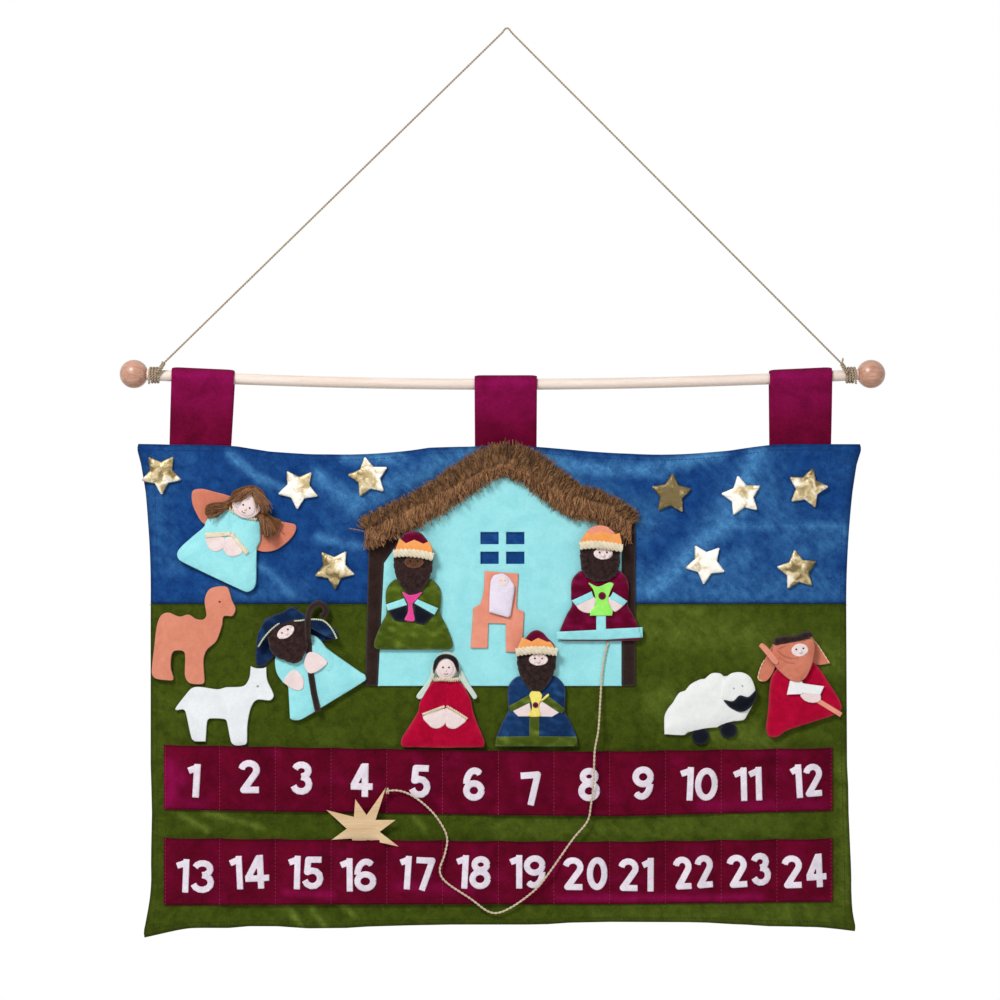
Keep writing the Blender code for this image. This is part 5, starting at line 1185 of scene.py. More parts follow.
for band, way, look in (("upper", 1, raffia_dark), ("lower", -1, raffia_light)):
    strips = []
    for i in range(len(ridge) - 1):
        a, b = ridge[i], ridge[i + 1]
        side = (ridge_out[i] + ridge_out[i + 1]) / 2
        lean = side if way > 0 else np.array([-side[0] * 0.35, -1])
        lean = lean / np.linalg.norm(lean) * (reach_up if way > 0 else reach_down)[i]
        for near, far, y in ((-1.5, 2.2, -5), (1.5, 5.5, -5.4)):
            corners = [(*(p + lean * along), y) for p, along in ((a, near), (b, near), (b, far), (a, far))]
            strips.append(([(x, y, z) for x, z, y in corners], (lean[0], -0.07, lean[1])))
    fringe(f"thatch_{band}_straws", strips, look, "banner", "thatch_dark" if way > 0 else "thatch_light", 1.9,
        13 if way > 0 else 16.5, 0.85, 0.42, 3 + way, 8)
    far = ridge + ridge_out * way * 11
    felt(f"thatch_{band}_tape", [[(x, z) for x, z in np.concatenate([ridge + ridge_out * way * 0.15, far[::-1]])]],
        tape,
        "banner", "thatch_dark" if way > 0 else "thatch_light", [f"thatch_{band}"], -2.9, 1.5, grid=4, step=6)
points, faces = twine([(-143, -5.2, -502.2), (-150, -5.8, -500.6), (-157.5, -5.4, -499.4)], 1.1, 9)
finish("stray_straw", points, faces, raffia_light, "banner", "thatch_light", (), {"tint": np.full(len(points), 0.8)})

# The manger with its four short legs, and the child in swaddling clothes that lifts off it.
DOT = 5.5


def hook_dot(name, x, z, back, front, body, slot):
    """The hook dot glued on the back of a figure."""
    felt(name + "_hook_dot", [arc(x, z, DOT, DOT, 0, 345, 24)], white_felt, body, slot, back=back, thick=back - front,
        grid=4, step=2)


def bead(name, spots, look, body, slot, wide, tall, deep):
    """Small domed stitches: eyes, noses and knots, at (x, y, z), as wide, tall and deep as given."""
    points, faces = [], []
    for x, y, z in spots:
        first = len(points)
        points.append((x, y - deep, z))
        for ring in range(1, 5):
            t = ring * math.pi / 8
            points += [(x + wide / 2 * math.sin(t) * math.cos(s), y - deep * math.cos(t),
                z + tall / 2 * math.sin(t) * math.sin(s)) for s in np.arange(12) * math.tau / 12]
        points.append((x, y + 0.3, z))
        for k in range(12):
            j = (k + 1) % 12
            faces.append((first, first + 1 + k, first + 1 + j))
            for ring in range(3):
                a, b = first + 1 + ring * 12, first + 13 + ring * 12
                faces.append((a + k, b + k, b + j, a + j))
            faces.append((first + 37 + k, first + 49, first + 37 + j))
    finish(name, points, faces, look, body, slot)


def patches(name, cuts, look, body, slot, under, thick=0.9, sink=0.15, **more):
    """Flat pieces of felt sewn on a front surface."""
    return felt(name, cuts, look, body, slot, back=lambda at: under(at) + sink, thick=thick + sink, grid=2.6, step=1,
        **more)


salmon = plain_felt("salmon_felt", (246, 164, 140), (222, 134, 110))
skin = plain_felt("skin_felt", (250, 232, 230), (230, 208, 206))
brown_skin = plain_felt("brown_skin_felt", (112, 74, 52), (78, 48, 34))
lilac = plain_felt("pale_swaddling", (246, 236, 250), (220, 210, 228))
grey_thread = cloth_look("grey_thread", (176, 176, 178), (140, 140, 144), 0.04, raised=0.2)
black = cloth_look("black_thread", (34, 30, 30), (16, 14, 14), 0.1, raised=0.2)
red_thread = cloth_look("red_thread", (150, 40, 50), (110, 20, 30), 0.1, raised=0.2)
felt("manger_felt", [sheet([
    (484.7, 570.8, 1), (518.4, 573.4, 1), (517.2, 607.8), (524.2, 611.6, 1), (522.9, 634), (521, 652.4, 1),
    (505.7, 651.8, 1),
    (505.7, 623.7, 1), (488.5, 623.1, 1), (487.8, 648, 1), (470.6, 648, 1), (473.2, 607.8, 1), (480.2, 604, 1),
    (483.4, 592),
])], salmon, "banner", "salmon_felt", ["manger"], -2.9, 2)
hook_dot("child", -6, -563, -4.95, -6.7, "child_figure", "white_felt")
child_front = felt("child_bundle", [sheet([
    (490.5, 581, 1), (493.6, 575.5), (498, 574), (503.1, 573.5), (508.9, 577.2), (514.4, 585, 1), (514.4, 590),
    (510.6, 615, 1), (508, 617.2, 1), (489.1, 612, 1), (489.6, 595),
])], lilac, "child_figure", "pale_felt", ["child"], -6.7, 1.4, 1.8, 8, 2.2, (0.5, 4))
patches("child_face", [arc(-4, -552, 5.6, 5, 0, 340, 16)], skin, "child_figure", "pale_felt", child_front, 0.35)
bead("child_eyes", [(x, face_at(child_front, x, -551) - 0.3, -551) for x in (-6.2, -2)], brown_skin, "child_figure",
    "dark_brown_felt", 1.1, 0.7, 0.3)

# The stars: padded gold foil cloth, five points, each on its own hook dot, a little crinkled, with painted
# reflections: paler and darker facets, and one side of each star painted brighter.


def foil_look():
    """Gold foil cloth with painted reflections: pale where its mark called shine is high, in creases of a few
    millimetres.
    """
    look, tree, sockets = start_look("gold_foil_cloth", Metallic=0.3, Roughness=0.4)
    where, shine = place_in(tree), marked(tree, "shine")
    crease = spread(tree, cloud(tree, where, 115, 3, 0.5), 0.36, 0.64)
    speck = spread(tree, cloud(tree, where, 1300, 2), 0.3, 0.7)
    uneven = reckon(tree, "MULTIPLY_ADD", crease, 0.62, reckon(tree, "MULTIPLY_ADD", speck, 0.1, -0.34))
    shade = reckon(tree, "ADD", shine, uneven)
    dull = mix(tree, spread(tree, shade, 0.1, 0.5), dye(112, 94, 52), dye(204, 182, 134))
    tree.links.new(mix(tree, spread(tree, shade, 0.5, 0.9), dull, dye(255, 250, 238)), sockets["Base Color"])
    raise_bumps(tree, sockets, crease, 0.3, 0.002)
    return look


foil = foil_look()
# Each star: its middle on the pattern sheet, its turn, how bright its painted reflection is, and the angle towards
# which it is painted brighter.
STARS = (
    (161.5, 473.8, 37, 0.4, -90), (298.4, 488.6, 33, 0.85, -120), (368.8, 477.4, 11, 0.6, 45),
    (334.6, 568.6, 38, 0.35, 45),
    (671.2, 494.2, -3.5, -0.05, -90), (741.8, 496, 11.5, 0.85, 180), (807.2, 488.2, -14, 0.5, -90),
    (705.4, 563.4, 30.5, 0.95, 0), (797.2, 570.4, 8, 0.35, 180),
)
for number, (*middle, turn, bright, brighter_toward) in enumerate(STARS, 1):
    (x, z), = sheet([middle])
    hook_dot(f"star_{number}", x, z, -0.6, -2.1, f"star_{number}_marker", "gold_lame")
    outline = []
    for i in range(10):
        angle, reach, blunt = (90 + turn + 36 * i, 11.7, (0,)) if i % 2 else (90 + turn + 36 * i, 20.3, (-2.2, 2.2))
        outline += [(x + reach * math.cos(math.radians(angle + b)), z + reach * math.sin(math.radians(angle + b)), 1)
            for b in blunt]
    felt(f"star_{number}_foil", [outline], foil, f"star_{number}_marker", "gold_lame", [f"star_{number}"], -2.1, 1.4,
        1.4, 6, 1.6, (0.4, 4.5), step=1.4)
    mesh = bpy.data.objects[f"star_{number}_foil"].data
    way = Vector((math.cos(math.radians(brighter_toward)), 0, math.sin(math.radians(brighter_toward))))
    # Painted reflection: brighter towards one side of the star and in noise.
    painted_shine = [bright + 0.3 * (v.co / MM - Vector((x, 0, z))).dot(way) / 20 + 0.3 * noise.noise(v.co * 95)
        for v in mesh.vertices]
    mesh.attributes.new("shine", "FLOAT", "POINT").data.foreach_set("value", painted_shine)

# The camel and the goat: flat shapes of thick felt with stitched eyes. The sheep: a stuffed white felt body with
# a scalloped edge and black felt legs, and a stuffed head with a black muzzle laid over it.


def shares(points, wide, tall, x, z):
    return [((u - 0.5) * wide + x, v * tall + z, *more) for u, v, *more in points]


camel_felt = plain_felt("camel_felt", (232, 152, 126), (206, 124, 98))
goat_felt = cloth_look("goat_felt", (248, 250, 252), (222, 226, 230), 0.05, hair=1000)
CAMEL = (
    (0, 0.12), (0.04, 0.06), (0.17, 0.04), (0.26, 0.05), (0.23, 0.17), (0.24, 0.30), (0.28, 0.34), (0.39, 0.32),
    (0.395, 0.09), (0.45, 0.01),
    (0.60, 0), (0.63, 0.03), (0.62, 0.25), (0.66, 0.35), (0.77, 0.44), (0.84, 0.60), (0.86, 0.69), (0.96, 0.695),
    (1, 0.77), (0.96, 0.85),
    (0.91, 0.98), (0.83, 1), (0.69, 0.97), (0.63, 0.86), (0.65, 0.70), (0.61, 0.66), (0.53, 0.665), (0.44, 0.71),
    (0.33, 0.69), (0.20, 0.73), (0.11, 0.70), (0.06, 0.59), (0.03, 0.38),
)
GOAT = (
    (0, 0.46), (0.08, 0.455), (0.105, 0.42), (0.165, 0.09), (0.20, 0.05, 1), (0.31, 0.05, 1), (0.325, 0.30),
    (0.35, 0.34), (0.505, 0.33),
    (0.53, 0.26), (0.565, 0.05), (0.61, 0), (0.71, 0.01), (0.73, 0.05), (0.735, 0.27), (0.77, 0.48), (0.83, 0.575),
    (0.96, 0.57), (1, 0.62),
    (0.985, 0.69), (0.935, 0.83), (0.925, 0.99, 1), (0.89, 0.975), (0.82, 0.975), (0.765, 1, 1), (0.75, 0.85),
    (0.69, 0.75), (0.52, 0.735), (0.43, 0.71), (0.25, 0.74), (0.17, 0.725), (0.105, 0.64),
)
hook_dot("camel", -325.6, -606, -0.6, -2.1, "camel_figure", "salmon_felt")
felt("camel_shape", [shares(CAMEL, 84, 98, -313.02, -655.02)], camel_felt, "camel_figure", "salmon_felt", ["camel"],
    -2.1, 2)
bead("camel_eye", [(-287, -4, -572.6)], brown_skin, "camel_figure", "dark_brown_felt", 2.6, 2, 0.6)
hook_dot("goat", -290.1, -674.4, -0.6, -2.1, "goat_figure", "white_felt")
felt("goat_shape", [shares(GOAT, 98.5, 79.5, -282.23, -716.53)], goat_felt, "goat_figure", "white_felt", ["goat"],
    -2.1, 2)
bead("goat_eye", [(-249, -4, -657)], grey_thread, "goat_figure", "dark_brown_felt", 2.6, 2.4, 0.5)

fleece = cloth_look("sheep_felt", (250, 252, 250), (232, 234, 232), 0.05, hair=900, blotch=60, raised=0.4)
black_felt = cloth_look("black_felt", (26, 30, 42), (10, 13, 22), 0.03, hair=1000)
hook_dot("sheep", 209, -676, -0.6, -2.1, "sheep", "white_felt")
felt("sheep_legs", [arc(193, -706.8, 9, 8.8, 0, 345, 20), arc(221.3, -700.8, 8.6, 8.4, 0, 345, 20)], black_felt,
    "sheep", "dark_brown_felt", back=-2.1, thick=1.6)
felt("sheep_body", [sheet([
    (664.2, 716.7), (664.2, 734.2, 1), (683.3, 735), (688.3, 732, 1), (705, 728.3), (716.7, 727.2, 1), (721.7, 724.5),
    (731.7, 721.4), (743.3, 719.8), (748, 713),
    (752.5, 704.2), (755, 694), (749, 682), (736, 675.2), (723.6, 676.1, 1), (720, 673.2), (711.7, 673.1),
    (704.5, 678.6, 1), (700, 679.2), (693.3, 682.2, 1),
    (689.5, 685), (685, 690.4, 1), (678.8, 693), (672.5, 702.6, 1), (667.5, 709),
])], fleece, "sheep", "white_felt", ["sheep_fleece"], -2.4, 2.1, 1.8, 12, 1.8, (0.4, 5))
sheep_face = felt("sheep_head_piece", [sheet([
    (720.3, 696.2), (721.6, 686.8), (725.6, 677.4), (731.7, 672.7), (741.7, 672.1), (749.8, 676.7), (754.4, 686.8),
    (754.2, 696), (747, 704), (737, 706), (727, 702),
])], fleece, "sheep", "white_felt", ["sheep_head"], -6, 1.4, 1.6, 8, 1.6, (0.3, 3))
patches("sheep_muzzle", [sheet([
    (723.6, 699.5), (732.3, 700.5), (739, 694.8), (747.7, 696.2), (755.8, 689.5), (755.8, 697.5), (751.8, 704.9),
    (745.7, 710.2), (739, 711.6), (731, 708.2), (725.6, 703.5),
])], black_felt, "sheep", "dark_brown_felt", sheep_face, 1.2)
bead("sheep_eyes", [(x, face_at(sheep_face, x, z) + 0.2, z) for x, z in ((226.3, -659), (234.7, -656.5))], grey_thread,
    "sheep", "dark_brown_felt", 1.8, 2.2, 0.6)

# The kings: stuffed felt gowns with felt cuffs, hands and gifts sewn on, beards of crinkled wool cloth, domed
# caps with an orange crown, and a twisted cream cord round the brow. Every doll's own outlines are given
# sideways and up from the middle of its hem.


def pinned(px, pz, lean=0):
    c, s = math.cos(math.radians(lean)), math.sin(math.radians(lean))
    return lambda points: [(px - NAIL_ACROSS + p[0] * c + p[1] * s, NAIL_DOWN - pz - p[0] * s + p[1] * c, *p[2:])
        for p in points]


def both(points, wide=1, tall=1, rise=0):
    """A right-hand outline from its foot up, and its mirror image."""
    right = [(p[0] * wide, p[1] * tall + rise, *p[2:]) for p in points]
    return right + [(-p[0], *p[1:]) for p in reversed(right)]


def stuffed(name, outline, look, body, slot, stands_for, back, reach=13, thick=2.4, crown=1.8, wave=(0.5, 6), grid=2.8,
        **more):
    return felt(name, [outline], look, body, slot, stands_for, back, thick, crown, reach, grid, wave, **more)


def curly(points, much=1):
    """An outline that wanders in and out, as the edge of a piece of crinkled wool does."""
    x, z = outline_of(points, 2.2).T
    return list(zip(x + much * noise_at(x * 0.33, z * 0.33, 1), z + much * noise_at(z * 0.33, x * 0.33, 6)))


def sleeves(name, cuts, look, body, slot, under):
    """Soft folds of the sleeves, raised on the gown with no edge of their own."""
    patches(name, cuts, look, body, slot, under, 0.2, crown=0.78, reach=9)


def face_on(name, place, at, look, body, under, eyes=3.6, nose=2.3, wide=9.5, tall=6, mouth=False):
    """A plain doll's face: a felt oval with two stitched eyes, a stuffed nose and perhaps a mouth."""
    x, z = at
    front = patches(name + "_face", [place(arc(x, z, wide, tall, 0, 340, 18))], look, body, "pale_felt", under, 0.7)
    spots = place([(x - eyes, z + 1.2), (x + eyes, z + 1.2)])
    bead(name + "_eyes", [(a, face_at(front, a, b), b) for a, b in spots], black, body, "dark_brown_felt", 1.9, 1.9,
        0.6)
    (a, b), = place([(x, z - 1.8)])
    bead(name + "_nose", [(a, face_at(front, a, b) + 0.2, b)], look, body, "pale_felt", nose * 2, nose * 1.8,
        nose * 0.9)
    if mouth:
        line = place([(x - 2.2, z - 5), (x, z - 5.7), (x + 2.2, z - 5)])
        run = [(a, face_at(front, a, b) - 0.1, b) for a, b in line]
        finish_twine(name + "_mouth", run, 0.8, 3, red_thread, body, "crimson_felt")


GOWN = ((0.88, -0.01), (0.965, 0.02), (0.975, 0.08), (0.93, 0.17), (0.79, 0.36), (0.675, 0.48), (0.675, 0.60),
    (0.69, 0.74), (0.65, 0.86), (0.50, 0.96), (0.28, 1.02), (0.23, 1.17))
POINTED = ((3.5, 54.5), (9, 58.5), (14, 66), (18, 75), (19.6, 84), (19.4, 92), (14, 97))
SQUARE = ((4.4, 58.8), (9.8, 60.6), (14.9, 65), (18.6, 71), (20, 82), (19.8, 92), (14, 97))
olive = cloth_look("olive_felt", (84, 102, 26), (48, 64, 10), 0.04, hair=800, lit=(134, 152, 58))
burgundy = cloth_look("burgundy_felt", (116, 6, 48), (70, 0, 24), 0.04, hair=800, lit=(156, 26, 92))
navy = cloth_look("navy_felt", (28, 64, 112), (10, 32, 68), 0.04, hair=800, lit=(62, 112, 164))
orange = plain_felt("orange_felt", (255, 180, 108), (240, 146, 70))
cream = cloth_look("cream_cord", (252, 242, 218), (216, 200, 166), 0.06, hair=900, blotch=200, raised=0.6)
wool = cloth_look("dark_wool", (72, 52, 50), (24, 13, 14), 0.05, hair=420, blotch=240, raised=1)
black_wool = cloth_look("black_brown_wool", (70, 52, 50), (18, 10, 10), 0.05, hair=420, blotch=240, raised=1)
pink = plain_felt("pink_felt", (246, 84, 168), (216, 52, 132))
lime = plain_felt("lime_felt", (176, 255, 124), (134, 236, 84))
yellow = plain_felt("yellow_felt", (255, 242, 130), (236, 212, 92))


TRIM_LIFTS = {"hem": 0.2, "hands": 0.3, "cuffs": 0.9, "gift": 1.4, "button": 2.4}


def king(name, foot, gown_back, seat, gown_look, slot, wool_look, skin_look, trims, arms, beard, face_x, cap_look, cap,
        crown, brow):
    place = pinned(*foot)
    x, z = place([(0, 32)])[0]
    hook_dot(name, x, z, seat, gown_back, name, slot)
    front = stuffed(name + "_gown_piece", place(both(GOWN, 40.3 if name == "king_green" else 42, 71)), gown_look, name,
        slot, [name + "_gown"], gown_back)
    sleeves(name + "_sleeves", [place(cut) for cut in arms], gown_look, name, slot, front)
    for trim, look, trim_slot, cuts in trims:
        patches(f"{name}_{trim}", [place(cut) for cut in cuts], look, name, trim_slot,
            lambda at, lift=TRIM_LIFTS[trim]: front(at) - lift, 0.9)
    beard_front = stuffed(name + "_beard", place(curly(both(beard), 1.3)), wool_look, name, "dark_brown_felt",
        [name + "_head"], gown_back - 4.5, 9, 2.2, 1.8, (1.5, 2.9), 1.4)
    face_on(name, place, (face_x, 86.5), skin_look, name, beard_front)
    stuffed(name + "_cap", place(cap), cap_look, name, "burgundy_felt", [name + "_crown"], gown_back - 5.6, 9, 3.2,
        1.4)
    felt(name + "_crown_piece", [place(crown)], orange, name, "orange_felt", back=gown_back - 9.4, thick=1.5, grid=2.6)
    line = [(a, gown_back - 11.6 + 0.9 * abs(u) / 20, b) for (a, b), (u, _) in zip(place(brow), brow)]
    finish_twine(name + "_brow_cord", line, 9, 12, cream, name, "pale_felt", plies=3, sides=8, flat=0.45)


king("king_green", (413.5, 648.5), -4.4, -2.9, olive, "olive_felt", wool, brown_skin, (
    ("cuffs", pale_blue, "light_blue_felt", [sharp([(-27.5, 44.2), (-9.2, 50.5), (-5.9, 43.8), (-25.5, 38)]),
        sharp([(4.1, 49.6), (25, 40.5), (21.2, 33.9), (0.8, 45.5)])]),
    ("hands", black_felt, "dark_brown_felt", [
        [(-25, 38.4, 1), (-6.3, 44.5, 1), (-5.6, 28.5), (-17.1, 27.7), (-21.5, 32.2)],
        [(0.8, 46, 1), (20.8, 34.1, 1), (12.9, 25.6), (7.9, 24.4), (0.8, 27.7)],
    ]),
    ("gift", pink, "crimson_felt", [[(-10.9, 56.7), (-3, 53.8), (8.7, 56.7), (2.9, 48.8), (-0.5, 44.7), (0.4, 36.4),
        (1.2, 28.1), (-8.4, 28.9), (-5.5, 36.4), (-5.5, 45.5)]]),
), [
        [(-27.5, 44, 1), (-26, 54), (-17, 62), (-7, 58), (-7, 50, 1)],
        [(25.5, 41, 1), (26, 53), (18, 62), (7, 58), (3.5, 49.6, 1)],
], POINTED, 0.8, burgundy, both([(18, 94), (18.4, 101), (15.5, 106), (12.9, 110), (7.9, 115.5), (2, 117.3)]), sharp([
        (-18.8, 94.5), (-17.1, 100.9), (-13.4, 110.5), (-7.1, 105.5), (1.2, 109.2), (10.4, 105.1), (16.2, 107.6),
        (19.1, 100.1), (19.6, 94),
    ]), [(-19.5, 95.2), (-9, 96), (1, 95.4), (11, 94), (20, 91.8)])
king("king_burgundy", (599.8, 639.8), -4.4, -2.9, burgundy, "burgundy_felt", black_wool, skin, (
    ("hem", pale_blue, "light_blue_felt", [sharp([(-43.5, 0.4), (-43.7, 8.3), (-3.8, 10.3), (-3.8, 25), (5.9, 25),
        (5.9, 11.2), (42.6, 12.9), (42.8, 2.6), (6, 0.4)])]),
    ("cuffs", pale_blue, "light_blue_felt", [sharp([(-28.3, 39.5), (-8.3, 48.8), (-6.4, 42.7), (-24, 34.3)]),
        sharp([(13, 48.2), (27.4, 38.9), (23.4, 34.3), (9.3, 41.7)])]),
    ("hands", skin, "pale_felt", [
        [(-24.5, 35.2, 1), (-6.4, 43.5, 1), (-3.7, 40), (-8, 28.1), (-15, 27.4), (-21, 30.6)],
        [(7.6, 43.1), (9.8, 43.1), (23.8, 35, 1), (19, 30.6), (14.3, 28.4), (7, 34)],
    ]),
    ("gift", lime, "olive_felt", [[(-11.4, 57.2), (-1.9, 53.6), (8.9, 57.6), (13.5, 56), (10.5, 49.2), (8, 40.3),
        (10.9, 32.5), (12.6, 28.6), (12, 24.4, 1), (-10.2, 24.4, 1), (-9.6, 28.8), (-5.3, 34.1), (-4.4, 40.3),
        (-6.8, 50.1)]]),
    ("button", burgundy, "burgundy_felt", [arc(2, 44.3, 3.8, 3.8, 0, 330, 12)]),
), [
        [(-29, 40, 1), (-27.5, 54), (-17, 62), (-9, 58), (-7, 48, 1)],
        [(29, 39, 1), (27.5, 53), (18, 62), (12, 58), (11.5, 50, 1)],
    ], SQUARE, 3, salmon, both([(18, 94), (18.4, 100), (16, 105), (12.9, 109), (7.9, 113), (2, 114.5)]), sharp([
    (-21.5, 94.5), (-20, 98.5), (-13.7, 108), (-8.2, 105.4), (1.9, 109.4), (13.9, 105.4), (19.3, 107.2), (21.6, 98.5),
        (21.8, 93),
    ]), [(-20.4, 94.3), (-9, 95.4), (1, 95), (11, 93.6), (22.2, 91.8)])
king("king_blue", (536.5, 745.5), -2.9, -0.6, navy, "navy_felt", black_wool, skin, (
    ("hem", olive, "olive_felt", [sharp([(-41.4, -0.6), (-40.2, 9.4), (-7.3, 9.9), (-7.3, 29), (2.8, 29), (2.8, 9.9),
        (40.2, 9.4), (41.4, -0.6)])]),
    ("cuffs", olive, "olive_felt", [sharp([(-28.2, 39.6), (-6.8, 51.6), (-4.1, 44.6), (-25.4, 34)]),
        sharp([(6.1, 48.9), (10.8, 50.7), (29, 36.8), (25.2, 32.2), (5, 44.6)])]),
    ("hands", skin, "pale_felt", [
        sharp([(-7.3, 45.6), (-5.5, 36), (-7.3, 29.5), (-18.3, 29.5), (-24.6, 35.6)]),
        sharp([(4.4, 45.6), (22.6, 33.4), (15.3, 29.1), (2, 29.5), (1, 38)]),
    ]),
    ("gift", yellow, "orange_felt", [[(-7.3, 50.7), (-5, 54.7), (-1.1, 56.3), (2.8, 54.7), (5.6, 50.7), (4.8, 46.7),
        (7.5, 49.1), (11.4, 52.3), (12.6, 50.7), (6.7, 45.5), (3.6, 44.3), (2.4, 37.9), (3.6, 29.9), (-8.5, 29.9),
        (-5, 36.3), (-4.6, 41.1), (-5.8, 45.9)]]),
    ("button", burgundy, "burgundy_felt", [arc(-1.1, 41.1, 2.9, 2.9, 0, 330, 12)]),
), [
        [(-26.5, 40, 1), (-26, 54), (-17, 62), (-8, 59), (-7.4, 51, 1)],
        [(27, 37.5, 1), (26.5, 53), (18, 62), (9, 58), (8.5, 49, 1)],
    ], POINTED, 1.8, burgundy, both([(17.5, 94), (18, 100), (15, 104.5), (11, 108), (6.7, 113), (2, 115.5)]), sharp([
    (-20, 94.5), (-18.5, 99.5), (-14.4, 108.7), (-5, 104.7), (1.3, 108.3), (10.6, 104.3), (13.8, 104.3), (17.5, 99.5),
        (19.6, 94),
    ]), [(-20.6, 93.9), (-9, 95.6), (1, 96), (11, 95.4), (20.4, 94)])

# The mother: a crimson stuffed gown with folded hands, cream piping, black hair and a pale grey-green veil.
crimson = plain_felt("crimson_felt", (200, 10, 58), (146, 0, 38))
veil_felt = plain_felt("veil_felt", (216, 228, 216), (188, 204, 192))
black_hair = cloth_look("black_hair", (36, 30, 30), (10, 8, 8), 0.05, hair=700, blotch=300, raised=0.9)
place = pinned(443, 745.5)
hook_dot("mother", -64, -686, -0.6, -4.4, "mother", "crimson_felt")
felt("mother_veil_piece", [place([
    (-26.5, 49), (-20, 58.5), (-13.5, 68.3), (-10.5, 80), (-5, 90), (3.4, 94.6), (11, 91), (15.8, 84), (18, 75.8),
    (25.5, 62.8), (34.3, 49.4), (31, 46.6), (22, 57), (-16, 57), (-22.6, 46.8),
])], veil_felt, "mother", "veil_felt", ["mother_veil"], -2.9, 1.2)
front = stuffed("mother_gown_piece", place([
    (-38, -1.5), (-41.5, 0.5), (-41.5, 7), (-36, 16), (-27.5, 29.5), (-24.3, 36), (-23, 44), (-18.5, 52), (-14.6, 59),
    (-9.5, 65.2), (-6, 67.2), (13, 67.2), (16.4, 65), (22, 58),
    (27.6, 47), (29.6, 38), (31, 32), (36, 19), (41, 7), (41.7, 2.5), (40, -1.5),
]), crimson, "mother", "crimson_felt", ["mother_gown"], -4.4)
sleeves("mother_sleeves", [place([(-21.5, 31), (1.9, 39), (3, 50), (-2.5, 62), (-9.5, 62), (-17, 52), (-22, 43)]),
    place([(26.6, 26.4), (4.2, 39.6), (4, 50), (10, 62), (16.5, 61), (24, 51), (28, 40)])],
    crimson, "mother", "crimson_felt", front)
patches("mother_veil_flaps", [place([(-26.5, 49.6), (-20, 58.8), (-13.5, 68.3), (-10.8, 78), (-8.2, 70), (-12.5, 62),
    (-17, 54.5), (-22.2, 46.6)]),
    place([(18.4, 75.8), (25.8, 62.8), (34.2, 49.6), (31, 46.6), (26.2, 53), (20.6, 61),
        (15.8, 68)])],
    veil_felt, "mother", "veil_felt", front, 0.8)
patches("mother_hands", [place([(-19.4, 30.4), (1.7, 37.6), (2.4, 23), (-3, 18.2), (-9, 17.8), (-14, 21)]),
    place([(2.6, 37.6), (5.4, 38), (23, 26.8), (17.7, 20.5), (12, 17.4), (6, 18), (2.8, 22)])],
    skin, "mother", "pale_felt", front, 0.9)
mother_face = stuffed("mother_head_piece", place(arc(3.2, 78.3, 10.6, 12.2, 0, 345, 20)), skin, "mother", "pale_felt",
    ["mother_head"], -8.9, 8, 1.6, 1.8, (0.1, 5))
patches("mother_hair", [place([(-9.2, 72.5), (-9.8, 79), (-8, 86), (-3.4, 90.6), (3.2, 92), (10, 90.4), (14.6, 86),
    (16.2, 79), (15.4, 73), (12.6, 78.6), (9.6, 84.4), (3.2, 87.6), (-3, 84.6), (-6.4, 78.4)])],
    black_hair, "mother", "dark_brown_felt", mother_face, 1.6)
face_on("mother", place, (3.2, 77.6), skin, "mother", mother_face, 3, 1.3, 7.4, 8, True)
for side_name, width, line in (("left", 2.8, [(-20.4, 31.6), (-9, 36), (1.9, 39.8)]),
        ("right", 2.8, [(3.6, 40), (14, 34), (24.4, 27.2)]),
        ("neck", 4.6, [(-9.4, 66.4), (-2, 66.8), (5, 66.4), (11, 66.2), (16.4, 66.6)])):
    run = [(a, face_at(front, a, b) - 1.2 - (1.6 if side_name == "neck" else 0), b) for a, b in place(line)]
    finish_twine(f"mother_piping_{side_name}", run, width, 4.5, cream, "mother", "pale_felt")

# The angel: salmon felt wings, a pale blue stuffed gown with cream trim, and bunches of brown wool hair over
# a plain stuffed face.
place = sheet
tan = plain_felt("wing_felt", (228, 142, 116), (198, 112, 88))
brown_wool = straw_look("brown_wool_hair", (158, 104, 58), (78, 44, 18))
brown_cloth = cloth_look("brown_wool_cloth", (130, 84, 44), (82, 48, 20), 0.05, hair=600, blotch=200, raised=0.9)
hook_dot("angel", -276, -529, -0.6, -3.6, "angel", "light_blue_felt")
felt("angel_wing_pieces", [place([(193, 491), (201.9, 488.8), (214, 491.5), (232, 497), (262, 515), (281.7, 521.4),
    (295.6, 524.9), (294.3, 534.1), (285.1, 544.1), (273.3, 550.8), (259, 550.8), (232, 535), (204.4, 524.1),
    (196, 512.3), (192.2, 501.5)])], tan, "angel", "salmon_felt", ["angel_wings"], -2.1, 1.2)
front = stuffed("angel_gown_piece", place([
    (177.5, 554.2), (180.9, 547.5), (191.8, 537.5), (204.4, 526.6), (209.4, 517.4), (224.6, 509.8), (236, 500),
    (252, 508), (257.5, 518.2), (260.7, 524.1), (260.7, 540.8),
    (257.3, 548.3), (256.5, 581.8), (254, 588.5), (248.1, 591.8), (242.2, 590.2), (180.9, 560.9),
]), pale_blue, "angel", "light_blue_felt", ["angel_gown"], -3.6)
sleeves("angel_sleeves", [place([(228, 508), (209.4, 517.4), (204.8, 526.6), (206, 535.4), (231, 533.6), (231, 520)]),
    place([(254, 518), (260.4, 524), (260.4, 541), (249, 553.5), (233, 535.6), (236, 522)])],
    pale_blue, "angel", "light_blue_felt", front)
patches("angel_cuffs", [place(sharp([(205.5, 532.6), (231.3, 531.6), (231.3, 535.6), (206.5, 538.2)])),
    place(sharp([(233.6, 531.8), (250, 552), (246.4, 555), (230.6, 535)]))],
    cream, "angel", "pale_felt", lambda at: front(at) - 0.9, 0.9)
